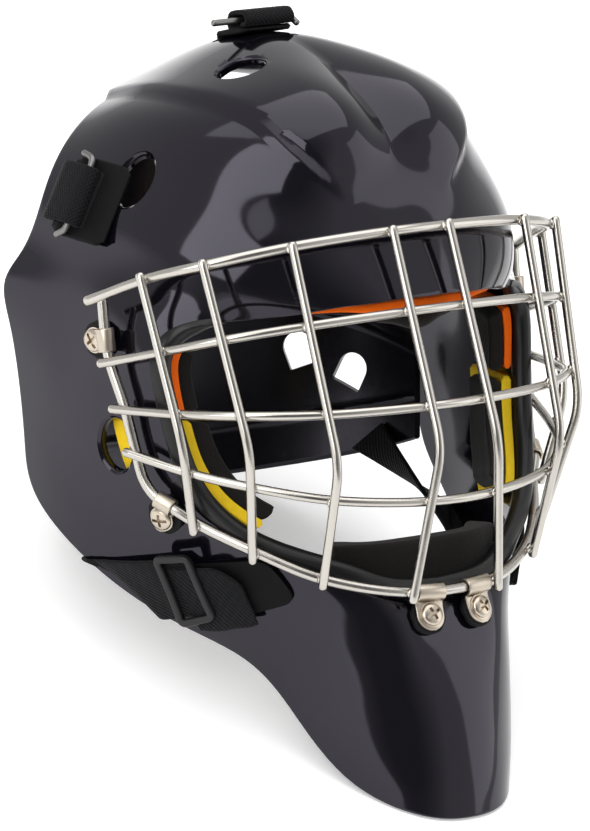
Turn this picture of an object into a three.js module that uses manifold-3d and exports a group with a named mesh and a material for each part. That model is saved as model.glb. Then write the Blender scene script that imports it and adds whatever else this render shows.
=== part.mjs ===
// Ice hockey goalie mask: a moulded shell with a welded wire cage, its clips, foam pads,
// back plate and straps.  Millimetres.  The pieces are drawn in the wearing frame (the face looks
// towards -Y, the wearer's left is +X, +Z is up, the origin is the middle of the cage's top wire)
// and one group then lays the mask back on its chin edge and back plate, as it rests by itself.
import * as THREE from 'three';
import { mergeVertices } from 'three/addons/utils/BufferGeometryUtils.js';
import Module from 'manifold-3d';

const wasm = await Module();
wasm.setup();

// ---- driving dimensions -----------------------------------------------------------------
const REST_TILT = 25; // degrees the mask lies back from the wearing pose
const FLOOR_DROP = 200.4; // wearing frame height of the floor plane, along the floor's normal
const REST_SHIFT_Y = -20.4; // brings the middle of the footprint over the origin
const GAP = 0.3; // clearance between neighbouring pieces
const SHELL_WALL = 4; // moulded laminate
const AXIS_Z = -75; // height of the face axis, round which the shell's sections turn
const SHELL_ROUND = 56; // facets round the face axis
const SHELL_ACROSS = 12; // facets from the face opening to the rim

// Sections of the shell, round the face axis: at = degrees from the chin (90 is the ear, 180 the
// crown); y and r are the control stations from the face opening's edge back to the rim.
const SHELL_SECTIONS = [
  {
    at: 0,
    y: [-13, -18, -22, -25, -28, -31, -33, -35, -36, -36],
    r: [68, 75, 84, 93, 104, 115, 127, 139, 151, 161],
  },
  {
    at: 8,
    y: [-13, -17, -21, -24, -27, -29, -31, -32, -33, -33],
    r: [68, 75, 84, 93, 104, 115, 127, 139, 150, 161],
  },
  {
    at: 16,
    y: [-12, -17, -20, -22, -22, -21, -19, -16, -12, -5],
    r: [69.5, 76, 84, 93, 103, 114, 125, 136, 145, 154],
  },
  {
    at: 24,
    y: [-10, -13, -14, -12, -9, -5, 1, 8, 15, 22],
    r: [70.5, 76, 83, 90, 97, 104, 110, 116, 121, 125],
  },
  {
    at: 32,
    y: [-7, -7, -5, -1, 4, 9, 15, 22, 29, 36],
    r: [71.5, 77, 83, 88, 94, 99, 104, 108, 112, 115],
  },
  {
    at: 42,
    y: [0, 4, 8, 14, 20, 27, 34, 42, 50, 59],
    r: [75, 79.5, 84, 89, 95, 101, 106, 110, 114, 117],
  },
  {
    at: 55,
    y: [16, 21, 27, 34, 42, 51, 60, 69, 79, 88],
    r: [85.5, 88.5, 91, 94, 98, 102, 106, 110, 114, 118],
  },
  {
    at: 68,
    y: [32, 36, 42, 50, 60, 73, 87, 101, 114, 126],
    r: [90.5, 92.5, 94.5, 97, 100, 103, 106, 109, 111, 111],
  },
  {
    at: 80,
    y: [40, 43, 49, 57, 67, 79, 91, 103, 114, 125],
    r: [90, 93, 95.5, 98, 100, 102, 104, 105, 106, 106],
  },
  {
    at: 93,
    y: [44, 48, 54, 62, 72, 83, 94, 106, 117, 128],
    r: [91.6, 94.5, 97, 99, 101, 103, 104, 105, 105, 105],
  },
  {
    at: 105,
    y: [49, 54, 61, 68, 78, 89, 100, 111, 122, 133],
    r: [99.5, 101, 102.5, 103, 104, 105, 106, 108, 109, 109],
  },
  {
    at: 113,
    y: [43, 47, 53, 61, 72, 85, 98, 111, 124, 138],
    r: [94, 97, 101, 104, 106, 108, 110, 112, 115, 118],
  },
  {
    at: 119,
    y: [30, 35, 42, 51, 62, 75, 89, 103, 117, 131],
    r: [81, 88, 95, 100, 104, 108, 111, 113, 115, 117],
  },
  {
    at: 125,
    y: [18, 22, 29, 38, 49, 62, 78, 94, 110, 127],
    r: [72, 81, 90, 98, 104, 109, 113, 116, 118, 120],
  },
  {
    at: 131,
    y: [10, 14, 20, 28, 39, 52, 69, 88, 107, 125],
    r: [65, 75, 86, 96, 105, 112, 118, 121, 124, 126],
  },
  {
    at: 140,
    y: [3, 8, 13, 20, 30, 43, 61, 84, 109, 130],
    r: [59, 70, 81, 92, 102, 112, 120, 125, 128, 129],
  },
  {
    at: 150,
    y: [-2, 4, 9, 15, 23, 34, 55, 82, 111, 134],
    r: [53, 65, 76, 87, 99, 112, 127, 136, 136, 130],
  },
  {
    at: 160,
    y: [-4, 2, 9, 14, 18, 21, 41, 74, 113, 145],
    r: [50, 63, 76, 88, 100, 116, 130, 134, 132, 124],
  },
  {
    at: 170,
    y: [-5, 3, 11, 15, 16, 21, 42, 78, 119, 155],
    r: [48, 65, 80, 93, 106, 121, 132, 138, 135, 122],
  },
  {
    at: 180,
    y: [-5, 4, 13, 15, 19, 29, 48, 84, 124, 162],
    r: [47, 66, 82, 95, 108, 121, 134, 147.5, 139, 123],
  },
];

// ---- small helpers ----------------------------------------------------------------------
const degrees = THREE.MathUtils.degToRad;
const vec = (x, y, z) => new THREE.Vector3(x, y, z);

function solidOf(geometry) {
  const bare = geometry.clone();
  bare.deleteAttribute('normal');
  bare.deleteAttribute('uv');
  const merged = mergeVertices(bare, 1e-4);
  const vertProperties = Float32Array.from(merged.attributes.position.array);
  const triVerts = Uint32Array.from(merged.index.array);
  return new wasm.Manifold(new wasm.Mesh({ numProp: 3, vertProperties, triVerts }));
}

function geometryOf(solid) {
  const mesh = solid.getMesh();
  const geometry = new THREE.BufferGeometry();
  geometry.setAttribute('position', new THREE.Float32BufferAttribute(mesh.vertProperties, 3));
  geometry.setIndex(Array.from(mesh.triVerts));
  return geometry;
}

// A closed body from rings of equal length; the rings run from one capped end to the other.
function loft(rings, closed = false) {
  const sides = rings[0].length;
  const positions = rings.flat().flatMap((point) => point.toArray());
  const index = [];
  const spans = closed ? rings.length : rings.length - 1;
  for (let row = 0; row < spans; row += 1) {
    const next = (row + 1) % rings.length;
    for (let side = 0; side < sides; side += 1) {
      const a = row * sides + side;
      const b = row * sides + ((side + 1) % sides);
      const c = next * sides + side;
      const d = next * sides + ((side + 1) % sides);
      index.push(a, b, d, a, d, c);
    }
  }
  if (!closed) {
    const last = (rings.length - 1) * sides;
    for (let side = 1; side < sides - 1; side += 1) {
      index.push(0, side + 1, side);
      index.push(last, last + side, last + side + 1);
    }
  }
  const geometry = new THREE.BufferGeometry();
  geometry.setAttribute('position', new THREE.Float32BufferAttribute(positions, 3));
  geometry.setIndex(index);
  return geometry;
}

// ---- the shell's surface ----------------------------------------------------------------
// Weights of the four controls round a place on a uniform cubic B-spline.
function splineWeights(t) {
  const s = 1 - t;
  return [s ** 3 / 6, (3 * t ** 3 - 6 * t ** 2 + 4) / 6, (3 * s ** 3 - 6 * s ** 2 + 4) / 6, t ** 3 / 6];
}

const LAST_SECTION = SHELL_SECTIONS.length - 1;
const LAST_STATION = SHELL_SECTIONS[0].y.length - 1;

// One control of the net.  The sections mirror at the chin and at the crown, and the stations
// run on in a straight line past the opening's edge and past the rim.
function control(section, station) {
  let row = section;
  let turn = 1;
  let full = 0;
  if (section < 0) {
    row = -section;
    turn = -1;
  }
  if (section > LAST_SECTION) {
    row = 2 * LAST_SECTION - section;
    turn = -1;
    full = 360;
  }
  const { at, y, r } = SHELL_SECTIONS[row];
  const pick = (list) => {
    if (station < 0) return 2 * list[0] - list[1];
    if (station > LAST_STATION) return 2 * list[LAST_STATION] - list[LAST_STATION - 1];
    return list[station];
  };
  return { at: full + turn * at, y: pick(y), r: pick(r) };
}

// Places along the net for equal steps of angle: the section number at an angle in degrees.
function sectionAt(angle) {
  const around = Math.abs(((angle + 540) % 360) - 180);
  let low = 0;
  let high = LAST_SECTION;
  for (let pass = 0; pass < 40; pass += 1) {
    const middle = (low + high) / 2;
    const cell = Math.min(Math.floor(middle), LAST_SECTION - 1);
    const weights = splineWeights(middle - cell);
    const here = weights.reduce((sum, weight, k) => sum + weight * control(cell - 1 + k, 0).at, 0);
    if (here < around) low = middle;
    else high = middle;
  }
  return (low + high) / 2;
}

// A point of the shell without its crown lobes: angle in degrees (negative on the wearer's
// right), across from 0 at the face opening to 1 at the rim.
function plainPoint(angle, across) {
  const wrapped = ((angle + 540) % 360) - 180;
  const along = sectionAt(wrapped);
  const cell = Math.min(Math.floor(along), LAST_SECTION - 1);
  const place = across * LAST_STATION;
  const start = Math.max(0, Math.min(Math.floor(place), LAST_STATION - 1));
  const sectionWeights = splineWeights(along - cell);
  const stationWeights = splineWeights(place - start);
  let y = 0;
  let r = 0;
  sectionWeights.forEach((sw, i) => {
    stationWeights.forEach((tw, j) => {
      const point = control(cell - 1 + i, start - 1 + j);
      y += sw * tw * point.y;
      r += sw * tw * point.r;
    });
  });
  const turn = degrees(wrapped);
  return vec(r * Math.sin(turn), y, AXIS_Z - r * Math.cos(turn));
}

// The outward normal of the shell at the same place.
function shellNormal(angle, across) {
  const step = 0.004;
  const place = THREE.MathUtils.clamp(across, step, 1 - step);
  const round = plainPoint(angle + 0.5, across).sub(plainPoint(angle - 0.5, across));
  const back = plainPoint(angle, place + step).sub(plainPoint(angle, place - step));
  return back.cross(round).normalize();
}

// The two crown lobes, from the opening to the rim: crease is a lobe's outer edge in degrees
// from the middle, proud its height and valley how far the shell's middle stays down.
const LOBE_STATIONS = [
  { across: 0.3, crease: 16.5, proud: 0, valley: 1 },
  { across: 0.4, crease: 18.5, proud: 1.3, valley: 1 },
  { across: 0.48, crease: 20.5, proud: 2.6, valley: 1 },
  { across: 0.56, crease: 22, proud: 3.4, valley: 1 },
  { across: 0.64, crease: 22.6, proud: 3.6, valley: 0.8 },
  { across: 0.72, crease: 23.6, proud: 3.4, valley: 0.35 },
  { across: 0.8, crease: 24.5, proud: 3.2, valley: 0 },
  { across: 0.88, crease: 24.5, proud: 3, valley: 0 },
  { across: 1, crease: 23.5, proud: 2.6, valley: 0 },
];
const LOBE_EDGE = 1.3; // half the width of the crease's turn, in degrees
const LOBE_CREST = 0.55; // where a lobe is at its full height, as a share of the crease

// A value of the lobes at a place across the shell, smooth between their stations.
function lobeAt(key, across) {
  const last = LOBE_STATIONS.length - 1;
  if (across <= LOBE_STATIONS[0].across) return LOBE_STATIONS[0][key];
  for (let k = 0; k < last; k += 1) {
    const [low, high] = [LOBE_STATIONS[k], LOBE_STATIONS[k + 1]];
    if (across <= high.across) {
      const t = THREE.MathUtils.smoothstep(across, low.across, high.across);
      return THREE.MathUtils.lerp(low[key], high[key], t);
    }
  }
  return LOBE_STATIONS[last][key];
}

// Height of the crown lobes over the plain shell.
function lobeHeight(angle, across) {
  const fromMiddle = 180 - Math.abs(((angle + 540) % 360) - 180);
  if (across < LOBE_STATIONS[0].across || fromMiddle > 40) return 0;
  const crease = lobeAt('crease', across);
  const inside = 1 - THREE.MathUtils.smoothstep(fromMiddle, crease - LOBE_EDGE, crease + LOBE_EDGE);
  const climb = Math.sin((Math.PI / 2) * Math.min(1, fromMiddle / (LOBE_CREST * crease)));
  const valley = lobeAt('valley', across);
  return lobeAt('proud', across) * inside * THREE.MathUtils.lerp(1, climb, valley);
}

// A point of the outer surface.
function shellPoint(angle, across) {
  const point = plainPoint(angle, across);
  const height = lobeHeight(angle, across);
  return height === 0 ? point : point.addScaledVector(shellNormal(angle, across), height);
}

// A point a given distance outside the shell's outer surface (negative is inside it).
function shellOffset(angle, across, lift) {
  return shellPoint(angle, across).addScaledVector(shellNormal(angle, across), lift);
}

// ---- closed bodies ----------------------------------------------------------------------
// A slab between two faces: place(s, t, face) gives a point for s and t from 0 to 1 and face 0 or 1.
function slab(stepsS, stepsT, place) {
  const positions = [];
  const rows = stepsS + 1;
  const columns = stepsT + 1;
  for (const face of [0, 1]) {
    for (let i = 0; i < rows; i += 1) {
      for (let j = 0; j < columns; j += 1) {
        positions.push(...place(i / stepsS, j / stepsT, face).toArray());
      }
    }
  }
  const at = (i, j, face) => face * rows * columns + i * columns + j;
  const index = [];
  const quad = (p, q, r, s) => index.push(p, q, r, p, r, s);
  for (let i = 0; i < stepsS; i += 1) {
    for (let j = 0; j < stepsT; j += 1) {
      quad(at(i, j, 0), at(i + 1, j, 0), at(i + 1, j + 1, 0), at(i, j + 1, 0));
      quad(at(i, j, 1), at(i, j + 1, 1), at(i + 1, j + 1, 1), at(i + 1, j, 1));
    }
  }
  for (let i = 0; i < stepsS; i += 1) {
    quad(at(i, 0, 0), at(i, 0, 1), at(i + 1, 0, 1), at(i + 1, 0, 0));
    quad(at(i, stepsT, 0), at(i + 1, stepsT, 0), at(i + 1, stepsT, 1), at(i, stepsT, 1));
  }
  for (let j = 0; j < stepsT; j += 1) {
    quad(at(0, j, 0), at(0, j + 1, 0), at(0, j + 1, 1), at(0, j, 1));
    quad(at(stepsS, j, 0), at(stepsS, j, 1), at(stepsS, j + 1, 1), at(stepsS, j + 1, 0));
  }
  return outward(positions, index);
}

// Turns the faces outwards where the grid ran the other way round.
function outward(positions, index) {
  let volume = 0;
  const corner = (k) => vec(positions[3 * k], positions[3 * k + 1], positions[3 * k + 2]);
  for (let k = 0; k < index.length; k += 3) {
    const [a, b, c] = [corner(index[k]), corner(index[k + 1]), corner(index[k + 2])];
    volume += a.dot(b.cross(c));
  }
  if (volume < 0) {
    for (let k = 0; k < index.length; k += 3) {
      [index[k + 1], index[k + 2]] = [index[k + 2], index[k + 1]];
    }
  }
  const geometry = new THREE.BufferGeometry();
  geometry.setAttribute('position', new THREE.Float32BufferAttribute(positions, 3));
  geometry.setIndex(index);
  return geometry;
}

const SIDES = [
  { side: 'right', sign: -1 },
  { side: 'left', sign: 1 },
];

// A patch that follows the shell: angles and across give its two ends, and a patch on a slant
// moves its angles along its length by slant degrees.  lift is the height of its lower and upper
// face over the shell's outer surface.
function shellPatch({ angles, across, lift, slant = 0, steps }) {
  return slab(steps[0], steps[1], (s, t, face) => {
    const angle = THREE.MathUtils.lerp(angles[0], angles[1], s) + slant * t;
    const place = THREE.MathUtils.lerp(across[0], across[1], t);
    return shellOffset(angle, place, lift[face]);
  });
}

// A round wire along a curve.
function wireGeometry(curve, radius, steps, sides = 6) {
  const section = [];
  for (let k = 0; k < sides; k += 1) {
    const turn = (2 * Math.PI * k) / sides;
    section.push(new THREE.Vector2(radius * Math.cos(turn), radius * Math.sin(turn)));
  }
  const shape = new THREE.Shape(section);
  return new THREE.ExtrudeGeometry(shape, { steps, extrudePath: curve, bevelEnabled: false });
}

// ---- openings cut in the shell ----------------------------------------------------------
// Oval openings: where on the shell, and their two widths (along the angle and across it).
const SHELL_OVALS = [
  { angle: 166, across: 0.765, along: 20, over: 17, turn: 40 },
  { angle: 138, across: 0.755, along: 23, over: 17, turn: 0 },
  { angle: 82.5, across: 0.47, along: 22, over: 17, turn: 8 },
];
// Slots with round ends, for the head straps.
const SIDE_SLOT = { angle: 132, across: 0.8, along: 30, over: 6 };
const CROWN_SLOT = { angle: 180, across: 0.872, along: 30, over: 6 };
const CUT_DEPTH = 14;

// The local axes of the shell at a place: x along the angle, y across towards the rim, z out.
function shellFrame(angle, across) {
  const out = shellNormal(angle, across);
  const back = shellPoint(angle, across + 0.01).sub(shellPoint(angle, across - 0.01));
  back.addScaledVector(out, -back.dot(out)).normalize();
  const along = back.clone().cross(out).normalize();
  const frame = new THREE.Matrix4().makeBasis(along, back, out);
  return frame.setPosition(shellPoint(angle, across));
}

function ovalShape({ along, over, turn }, sign) {
  const shape = new THREE.Shape();
  return shape.absellipse(0, 0, along / 2, over / 2, 0, 2 * Math.PI, false, degrees(sign * turn));
}

function slotShape({ along, over }) {
  const shape = new THREE.Shape();
  const straight = (along - over) / 2;
  shape.absarc(straight, 0, over / 2, -Math.PI / 2, Math.PI / 2, false);
  return shape.absarc(-straight, 0, over / 2, Math.PI / 2, 1.5 * Math.PI, false);
}

function shellCutter(shape, { angle, across }, sign) {
  const options = { depth: CUT_DEPTH, bevelEnabled: false, curveSegments: 7 };
  const cutter = new THREE.ExtrudeGeometry(shape, options);
  cutter.translate(0, 0, -CUT_DEPTH / 2 - SHELL_WALL / 2);
  return solidOf(cutter.applyMatrix4(shellFrame(sign * angle, across)));
}

// ---- clips: where each holds the wire frame and where its screw stands -------------------
const SCREW_HOLE = 2.5; // radius through the shell, the pad and the clip
const SCREW_SHANK = 2.1;
const SCREW_HEAD = 4.6;
const CLIP_SHEET = 1.2;
const CLIP_PAD = 2;
const CLIP_SEAT = 1; // the pad's clearance over the curved shell
const FRAME_WIRE = 2.2; // radius of the top wire and of the outline frame
const CROSS_WIRE = 1.9; // radius of the other wires
const WIRE_BITE = 0.5; // how far crossing wires melt into each other

// ---- the cage ---------------------------------------------------------------------------
// Upright wires of one half, from the middle outwards: top, bend and foot, and the direction
// (x, y) that faces away from the head there.  Wires 1 and 2 are nearest the middle.
const UPRIGHTS = [
  { top: [14.4, -0.4, 0.6], bend: [14.7, -32.3, -84.4], foot: [22, -23.5, -146.5], out: [0.1, -0.99] },
  { top: [59.7, 6.6, -2.6], bend: [57.4, -20.6, -88.6], foot: [54.3, -6.4, -139.5], out: [0.4, -0.92] },
  { top: [91, 24.4, -8.8], bend: [85.2, 1.2, -82.6], foot: [75, 12.5, -129.5], out: [0.82, -0.57] },
  { top: [103.5, 48.8, -16], bend: [99, 26.8, -82.8], foot: [90, 31.6, -119], out: [0.97, -0.22] },
];
// Level wires: their height at each upright, and the end past the side frame.
const LEVELS = [
  { radius: FRAME_WIRE, z: [-1.2, -4.1, -10.5, -17.8], end: [110, 74.9, -28.9] },
  { radius: CROSS_WIRE, z: [-32.1, -34.6, -39.5, -46], end: [109.5, 67.3, -53.4] },
  { radius: CROSS_WIRE, z: [-68.4, -68.9, -69.1, -70.4], end: [107.5, 62.5, -71.3] },
  { radius: CROSS_WIRE, z: [-106.3, -103.2, -98.4, -94.4], end: [105, 56.6, -88.3] },
];
// The outline frame: under the foot of each upright, then up the side.
const FRAME_FEET = [-143.7, -136.8, -126.4, -116.6];
const FRAME_SIDE = [
  [93.6, 39.8, -110.3],
  [97.6, 47, -105.6],
  [100, 51.4, -99],
  [101.6, 54.4, -87.7],
  [104, 58.6, -70.2],
  [106, 66.6, -50.1],
  [106.6, 70, -27.5],
];

// A point on an upright at a height, moved towards the head by inset.
function uprightAt({ top, bend, foot, out }, z, inset) {
  const [from, to] = z > bend[2] ? [top, bend] : [bend, foot];
  const t = (from[2] - z) / (from[2] - to[2]);
  const x = THREE.MathUtils.lerp(from[0], to[0], t) - out[0] * inset;
  const y = THREE.MathUtils.lerp(from[1], to[1], t) - out[1] * inset;
  return vec(x, y, z);
}

// A whole symmetrical curve from the points of its left half, middle point first.
function mirroredCurve(half) {
  const right = half.map((point) => vec(-point.x, point.y, point.z)).reverse();
  return new THREE.CatmullRomCurve3([...right, ...half]);
}

function uprightCurve({ top, bend, foot }, sign) {
  const [a, b, c] = [top, bend, foot].map(([x, y, z]) => vec(sign * x, y, z));
  const bow = 9; // length of the bend's round part on each side
  const before = b.clone().add(a.clone().sub(b).setLength(bow));
  const after = b.clone().add(c.clone().sub(b).setLength(bow));
  const path = new THREE.CurvePath();
  path.add(new THREE.LineCurve3(a, before));
  path.add(new THREE.QuadraticBezierCurve3(before, b, after));
  path.add(new THREE.LineCurve3(after, c));
  return path;
}

const levelInset = (radius) => CROSS_WIRE + radius - WIRE_BITE;

function levelCurve({ radius, z, end }) {
  const half = UPRIGHTS.map((upright, k) => uprightAt(upright, z[k], levelInset(radius)));
  return mirroredCurve([...half, vec(...end)]);
}

function frameCurve() {
  const inset = levelInset(FRAME_WIRE) + CROSS_WIRE * 0.4;
  const feet = UPRIGHTS.map((upright, k) => uprightAt(upright, FRAME_FEET[k], inset));
  return mirroredCurve([...feet, ...FRAME_SIDE.map((point) => vec(...point))]);
}

function cageBody() {
  let cage = solidOf(wireGeometry(frameCurve(), FRAME_WIRE, 40));
  for (const level of LEVELS) {
    cage = cage.add(solidOf(wireGeometry(levelCurve(level), level.radius, 24)));
  }
  for (const upright of UPRIGHTS) {
    for (const { sign } of SIDES) {
      cage = cage.add(solidOf(wireGeometry(uprightCurve(upright, sign), CROSS_WIRE, 6)));
    }
  }
  return cage;
}

// ---- clips, screws and rubber pads --------------------------------------------------------
// Where each clip wraps the frame wire: from 0 at the chin to 1 at the frame's upper end.
const CLIPS = [
  { name: 'chin', held: 0.053, width: 12.7 },
  { name: 'jaw', held: 0.592, width: 8 },
  { name: 'temple', held: 0.926, width: 9.5 },
];
const CLIP_REACH = 9.2; // from the wire to the screw
const CLIP_END = 6.4; // the clip's tail past the screw's middle
const PAD_ROUND = 7.6;
const WIRE_CLEAR = 0.85; // the clip's clearance round the wire

// The place on the shell nearest to a point, searched from a first guess.
function nearestOnShell(point, guess) {
  let best = { ...guess, distance: Infinity };
  for (let step = 6; step > 0.02; step /= 2) {
    let moved = true;
    while (moved) {
      moved = false;
      for (const [turn, slide] of [[0, 0], [step, 0], [-step, 0], [0, step / 90], [0, -step / 90]]) {
        const angle = best.angle + turn;
        const across = Math.min(Math.max(best.across + slide, 0), 1);
        const distance = shellPoint(angle, across).distanceTo(point);
        if (distance < best.distance - 1e-6) {
          best = { angle, across, distance };
          moved = true;
        }
      }
    }
  }
  return best;
}

// The frame of a clip: origin on the shell under the screw, x along the wire, y from the screw
// to the wire and z out of the shell.
function clipFrame({ held }, sign) {
  const curve = frameCurve();
  const place = 0.5 + (sign * held) / 2;
  const wire = curve.getPointAt(place);
  const along = curve.getTangentAt(place).normalize();
  const polar = THREE.MathUtils.radToDeg(Math.atan2(wire.x, AXIS_Z - wire.z));
  const under = nearestOnShell(wire, { angle: polar, across: 0.2 });
  const away = along.clone().cross(shellNormal(under.angle, under.across)).normalize();
  const rimward = shellPoint(under.angle, under.across + 0.05).sub(wire);
  if (away.dot(rimward) < 0) away.negate();
  const screw = nearestOnShell(wire.clone().addScaledVector(away, CLIP_REACH), under);
  const seat = shellPoint(screw.angle, screw.across);
  const out = shellNormal(screw.angle, screw.across);
  out.addScaledVector(along, -out.dot(along)).normalize();
  const towards = out.clone().cross(along).normalize();
  if (wire.clone().sub(seat).dot(towards) < 0) {
    towards.negate();
    along.negate();
  }
  const gap = wire.clone().sub(seat);
  const matrix = new THREE.Matrix4().makeBasis(along, towards, out).setPosition(seat);
  return { matrix, reach: gap.dot(towards), rise: gap.dot(out) };
}

// The outline of a bent sheet: a line of points thickened by half the sheet on both sides.
function sheetOutline(points, sheet) {
  const normals = points.map((point, k) => {
    const before = points[Math.max(k - 1, 0)];
    const after = points[Math.min(k + 1, points.length - 1)];
    const along = after.clone().sub(before).normalize();
    return new THREE.Vector2(-along.y, along.x);
  });
  const upper = points.map((point, k) => point.clone().addScaledVector(normals[k], sheet / 2));
  const lower = points.map((point, k) => point.clone().addScaledVector(normals[k], -sheet / 2));
  return new THREE.Shape([...upper, ...lower.reverse()]);
}

function cylinder(radius, from, to, sides = 12) {
  const geometry = new THREE.CylinderGeometry(radius, radius, to - from, sides);
  geometry.rotateX(Math.PI / 2);
  return geometry.translate(0, 0, (from + to) / 2);
}

const SEAT = CLIP_SEAT; // under the pad
const SHEET_FOOT = SEAT + CLIP_PAD + GAP; // under the clip's tail
const HEAD_FOOT = SHEET_FOOT + CLIP_SHEET + GAP; // under the screw's head

// The J shape in the plane of y (screw to wire) and z (out of the shell).
function clipBody(clip, sign) {
  const { matrix, reach, rise } = clipFrame(clip, sign);
  const round = FRAME_WIRE + WIRE_CLEAR + CLIP_SHEET / 2;
  const flat = SHEET_FOOT + CLIP_SHEET / 2;
  const nearSide = reach - round;
  const points = [
    new THREE.Vector2(-CLIP_END, flat),
    new THREE.Vector2(nearSide - 1, flat),
    new THREE.Vector2(nearSide, flat + 1),
  ];
  for (let turn = 180; turn >= -100; turn -= 28) {
    const place = degrees(turn);
    points.push(new THREE.Vector2(reach + round * Math.cos(place), rise + round * Math.sin(place)));
  }
  const shape = sheetOutline(points, CLIP_SHEET);
  const sheet = new THREE.ExtrudeGeometry(shape, { depth: clip.width, bevelEnabled: false });
  sheet.translate(0, 0, -clip.width / 2);
  // the drawing's x, y and depth become the clip's y, z and x
  sheet.applyMatrix4(new THREE.Matrix4().makeBasis(vec(0, 1, 0), vec(0, 0, 1), vec(1, 0, 0)));
  const hole = cylinder(SCREW_HOLE, -1, HEAD_FOOT + 2);
  const body = solidOf(sheet).subtract(solidOf(hole));
  return geometryOf(body).applyMatrix4(matrix);
}

function screwBody(clip, sign) {
  const { matrix } = clipFrame(clip, sign);
  const profile = [
    [0, -SHELL_WALL],
    [SCREW_SHANK, -SHELL_WALL],
    [SCREW_SHANK, HEAD_FOOT],
    [SCREW_HEAD, HEAD_FOOT],
    [SCREW_HEAD, HEAD_FOOT + 1.2],
    [SCREW_HEAD * 0.72, HEAD_FOOT + 2.3],
    [0, HEAD_FOOT + 2.8],
  ].map(([x, y]) => new THREE.Vector2(x, y));
  const screw = new THREE.LatheGeometry(profile, 10);
  screw.rotateX(Math.PI / 2);
  return geometryOf(solidOf(screw)).applyMatrix4(matrix);
}

function padBody(clip, sign) {
  const { matrix } = clipFrame(clip, sign);
  const disc = solidOf(cylinder(PAD_ROUND, SEAT, SEAT + CLIP_PAD));
  const hole = solidOf(cylinder(SCREW_HOLE, 0, SEAT + CLIP_PAD + 1));
  return geometryOf(disc.subtract(hole)).applyMatrix4(matrix);
}

// ---- the welt round the face opening ------------------------------------------------------
const WELT_FACETS = 15; // facets of the shell on each side of the chin
const WELT_LIP = 1.55; // thickness of its lips
const WELT_GRIP = 0.85; // clearance of its lips over the curved shell
const WELT_REACH = 4; // how far its lips grip the shell

// The channel's section: x away from the shell's edge into the opening, y out of the shell.
const WELT_SECTION = [
  [-WELT_REACH, WELT_GRIP],
  [-WELT_REACH, WELT_LIP],
  [1.6, WELT_LIP],
  [3.4, 0],
  [3.4, -SHELL_WALL],
  [1.6, -SHELL_WALL - WELT_LIP],
  [-WELT_REACH, -SHELL_WALL - WELT_LIP],
  [-WELT_REACH, -SHELL_WALL - WELT_GRIP],
  [WELT_GRIP, -SHELL_WALL - WELT_GRIP],
  [WELT_GRIP, WELT_GRIP],
];

function weltBody() {
  const rings = [];
  for (let facet = -WELT_FACETS; facet <= WELT_FACETS; facet += 1) {
    const angle = (360 * facet) / SHELL_ROUND;
    const out = shellNormal(angle, 0);
    // the edge of the shell and the next row of its facets, on its outer and inner face
    const faces = [0, -SHELL_WALL].map((lift) => ({
      edge: shellOffset(angle, 0, lift),
      next: shellOffset(angle, 1 / SHELL_ACROSS, lift),
    }));
    rings.push([...WELT_SECTION].reverse().map(([x, y]) => {
      const inside = y < -SHELL_WALL / 2;
      const { edge, next } = faces[inside ? 1 : 0];
      const away = edge.clone().sub(next).normalize();
      const height = inside ? y + SHELL_WALL : y;
      return edge.clone().addScaledVector(away, x).addScaledVector(out, height);
    }));
  }
  return rings;
}

// ---- back plate -----------------------------------------------------------------------------
const PLATE = { halfWidth: 88.5, middleY: 106, depth: 83, wall: 3, reach: 88 };
const PLATE_BOTTOM = -134; // at the middle of the back
const PLATE_STEPS = [22, 7];

// Turn runs from -1 (wearer's right) to 1, height from 0 at the lower edge to 1 at the top.
function platePoint(turn, height, inset) {
  const angle = degrees(turn * PLATE.reach);
  const low = PLATE_BOTTOM + 22 * turn ** 2;
  const top = 26 - 34 * turn ** 2;
  const z = THREE.MathUtils.lerp(low, top, height);
  const lean = 1 - 0.3 * Math.max(0, (z + 40) / 70) ** 2 * 0.6;
  const x = (PLATE.halfWidth - inset) * Math.sin(angle) * lean;
  const y = PLATE.middleY + (PLATE.depth - inset) * Math.cos(angle) * lean;
  return vec(x, y, z);
}

// D-shaped windows: where each stands on the plate and its turn in degrees.
const PLATE_WINDOWS = [
  { turn: 0.545, height: 0.345, lean: -20 },
  { turn: 0.73, height: 0.28, lean: 25 },
];
const WINDOW = { width: 13, length: 15 };

function windowCutter({ turn, height, lean }, sign) {
  const half = WINDOW.width / 2;
  const shape = new THREE.Shape();
  shape.moveTo(-half, 0);
  shape.lineTo(half, 0);
  shape.lineTo(half, WINDOW.length - half);
  shape.absarc(0, WINDOW.length - half, half, 0, Math.PI, false);
  const cutter = new THREE.ExtrudeGeometry(shape, { depth: 24, bevelEnabled: false, curveSegments: 6 });
  cutter.translate(0, -WINDOW.length / 2, -12);
  cutter.rotateZ(degrees(sign * lean));
  const out = platePoint(sign * turn, height, -1).sub(platePoint(sign * turn, height, 1)).normalize();
  const up = vec(0, 0, 1).addScaledVector(out, -out.z).normalize();
  const side = up.clone().cross(out).normalize();
  const frame = new THREE.Matrix4().makeBasis(side, up, out);
  frame.setPosition(platePoint(sign * turn, height, 0));
  return cutter.applyMatrix4(frame);
}

function plateBody() {
  const plain = slab(...PLATE_STEPS, (s, t, face) => platePoint(2 * s - 1, t, face * PLATE.wall));
  let plate = solidOf(plain);
  for (const opening of PLATE_WINDOWS) {
    for (const { sign } of SIDES) plate = plate.subtract(solidOf(windowCutter(opening, sign)));
  }
  return plate.subtract(underFloor());
}

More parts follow.
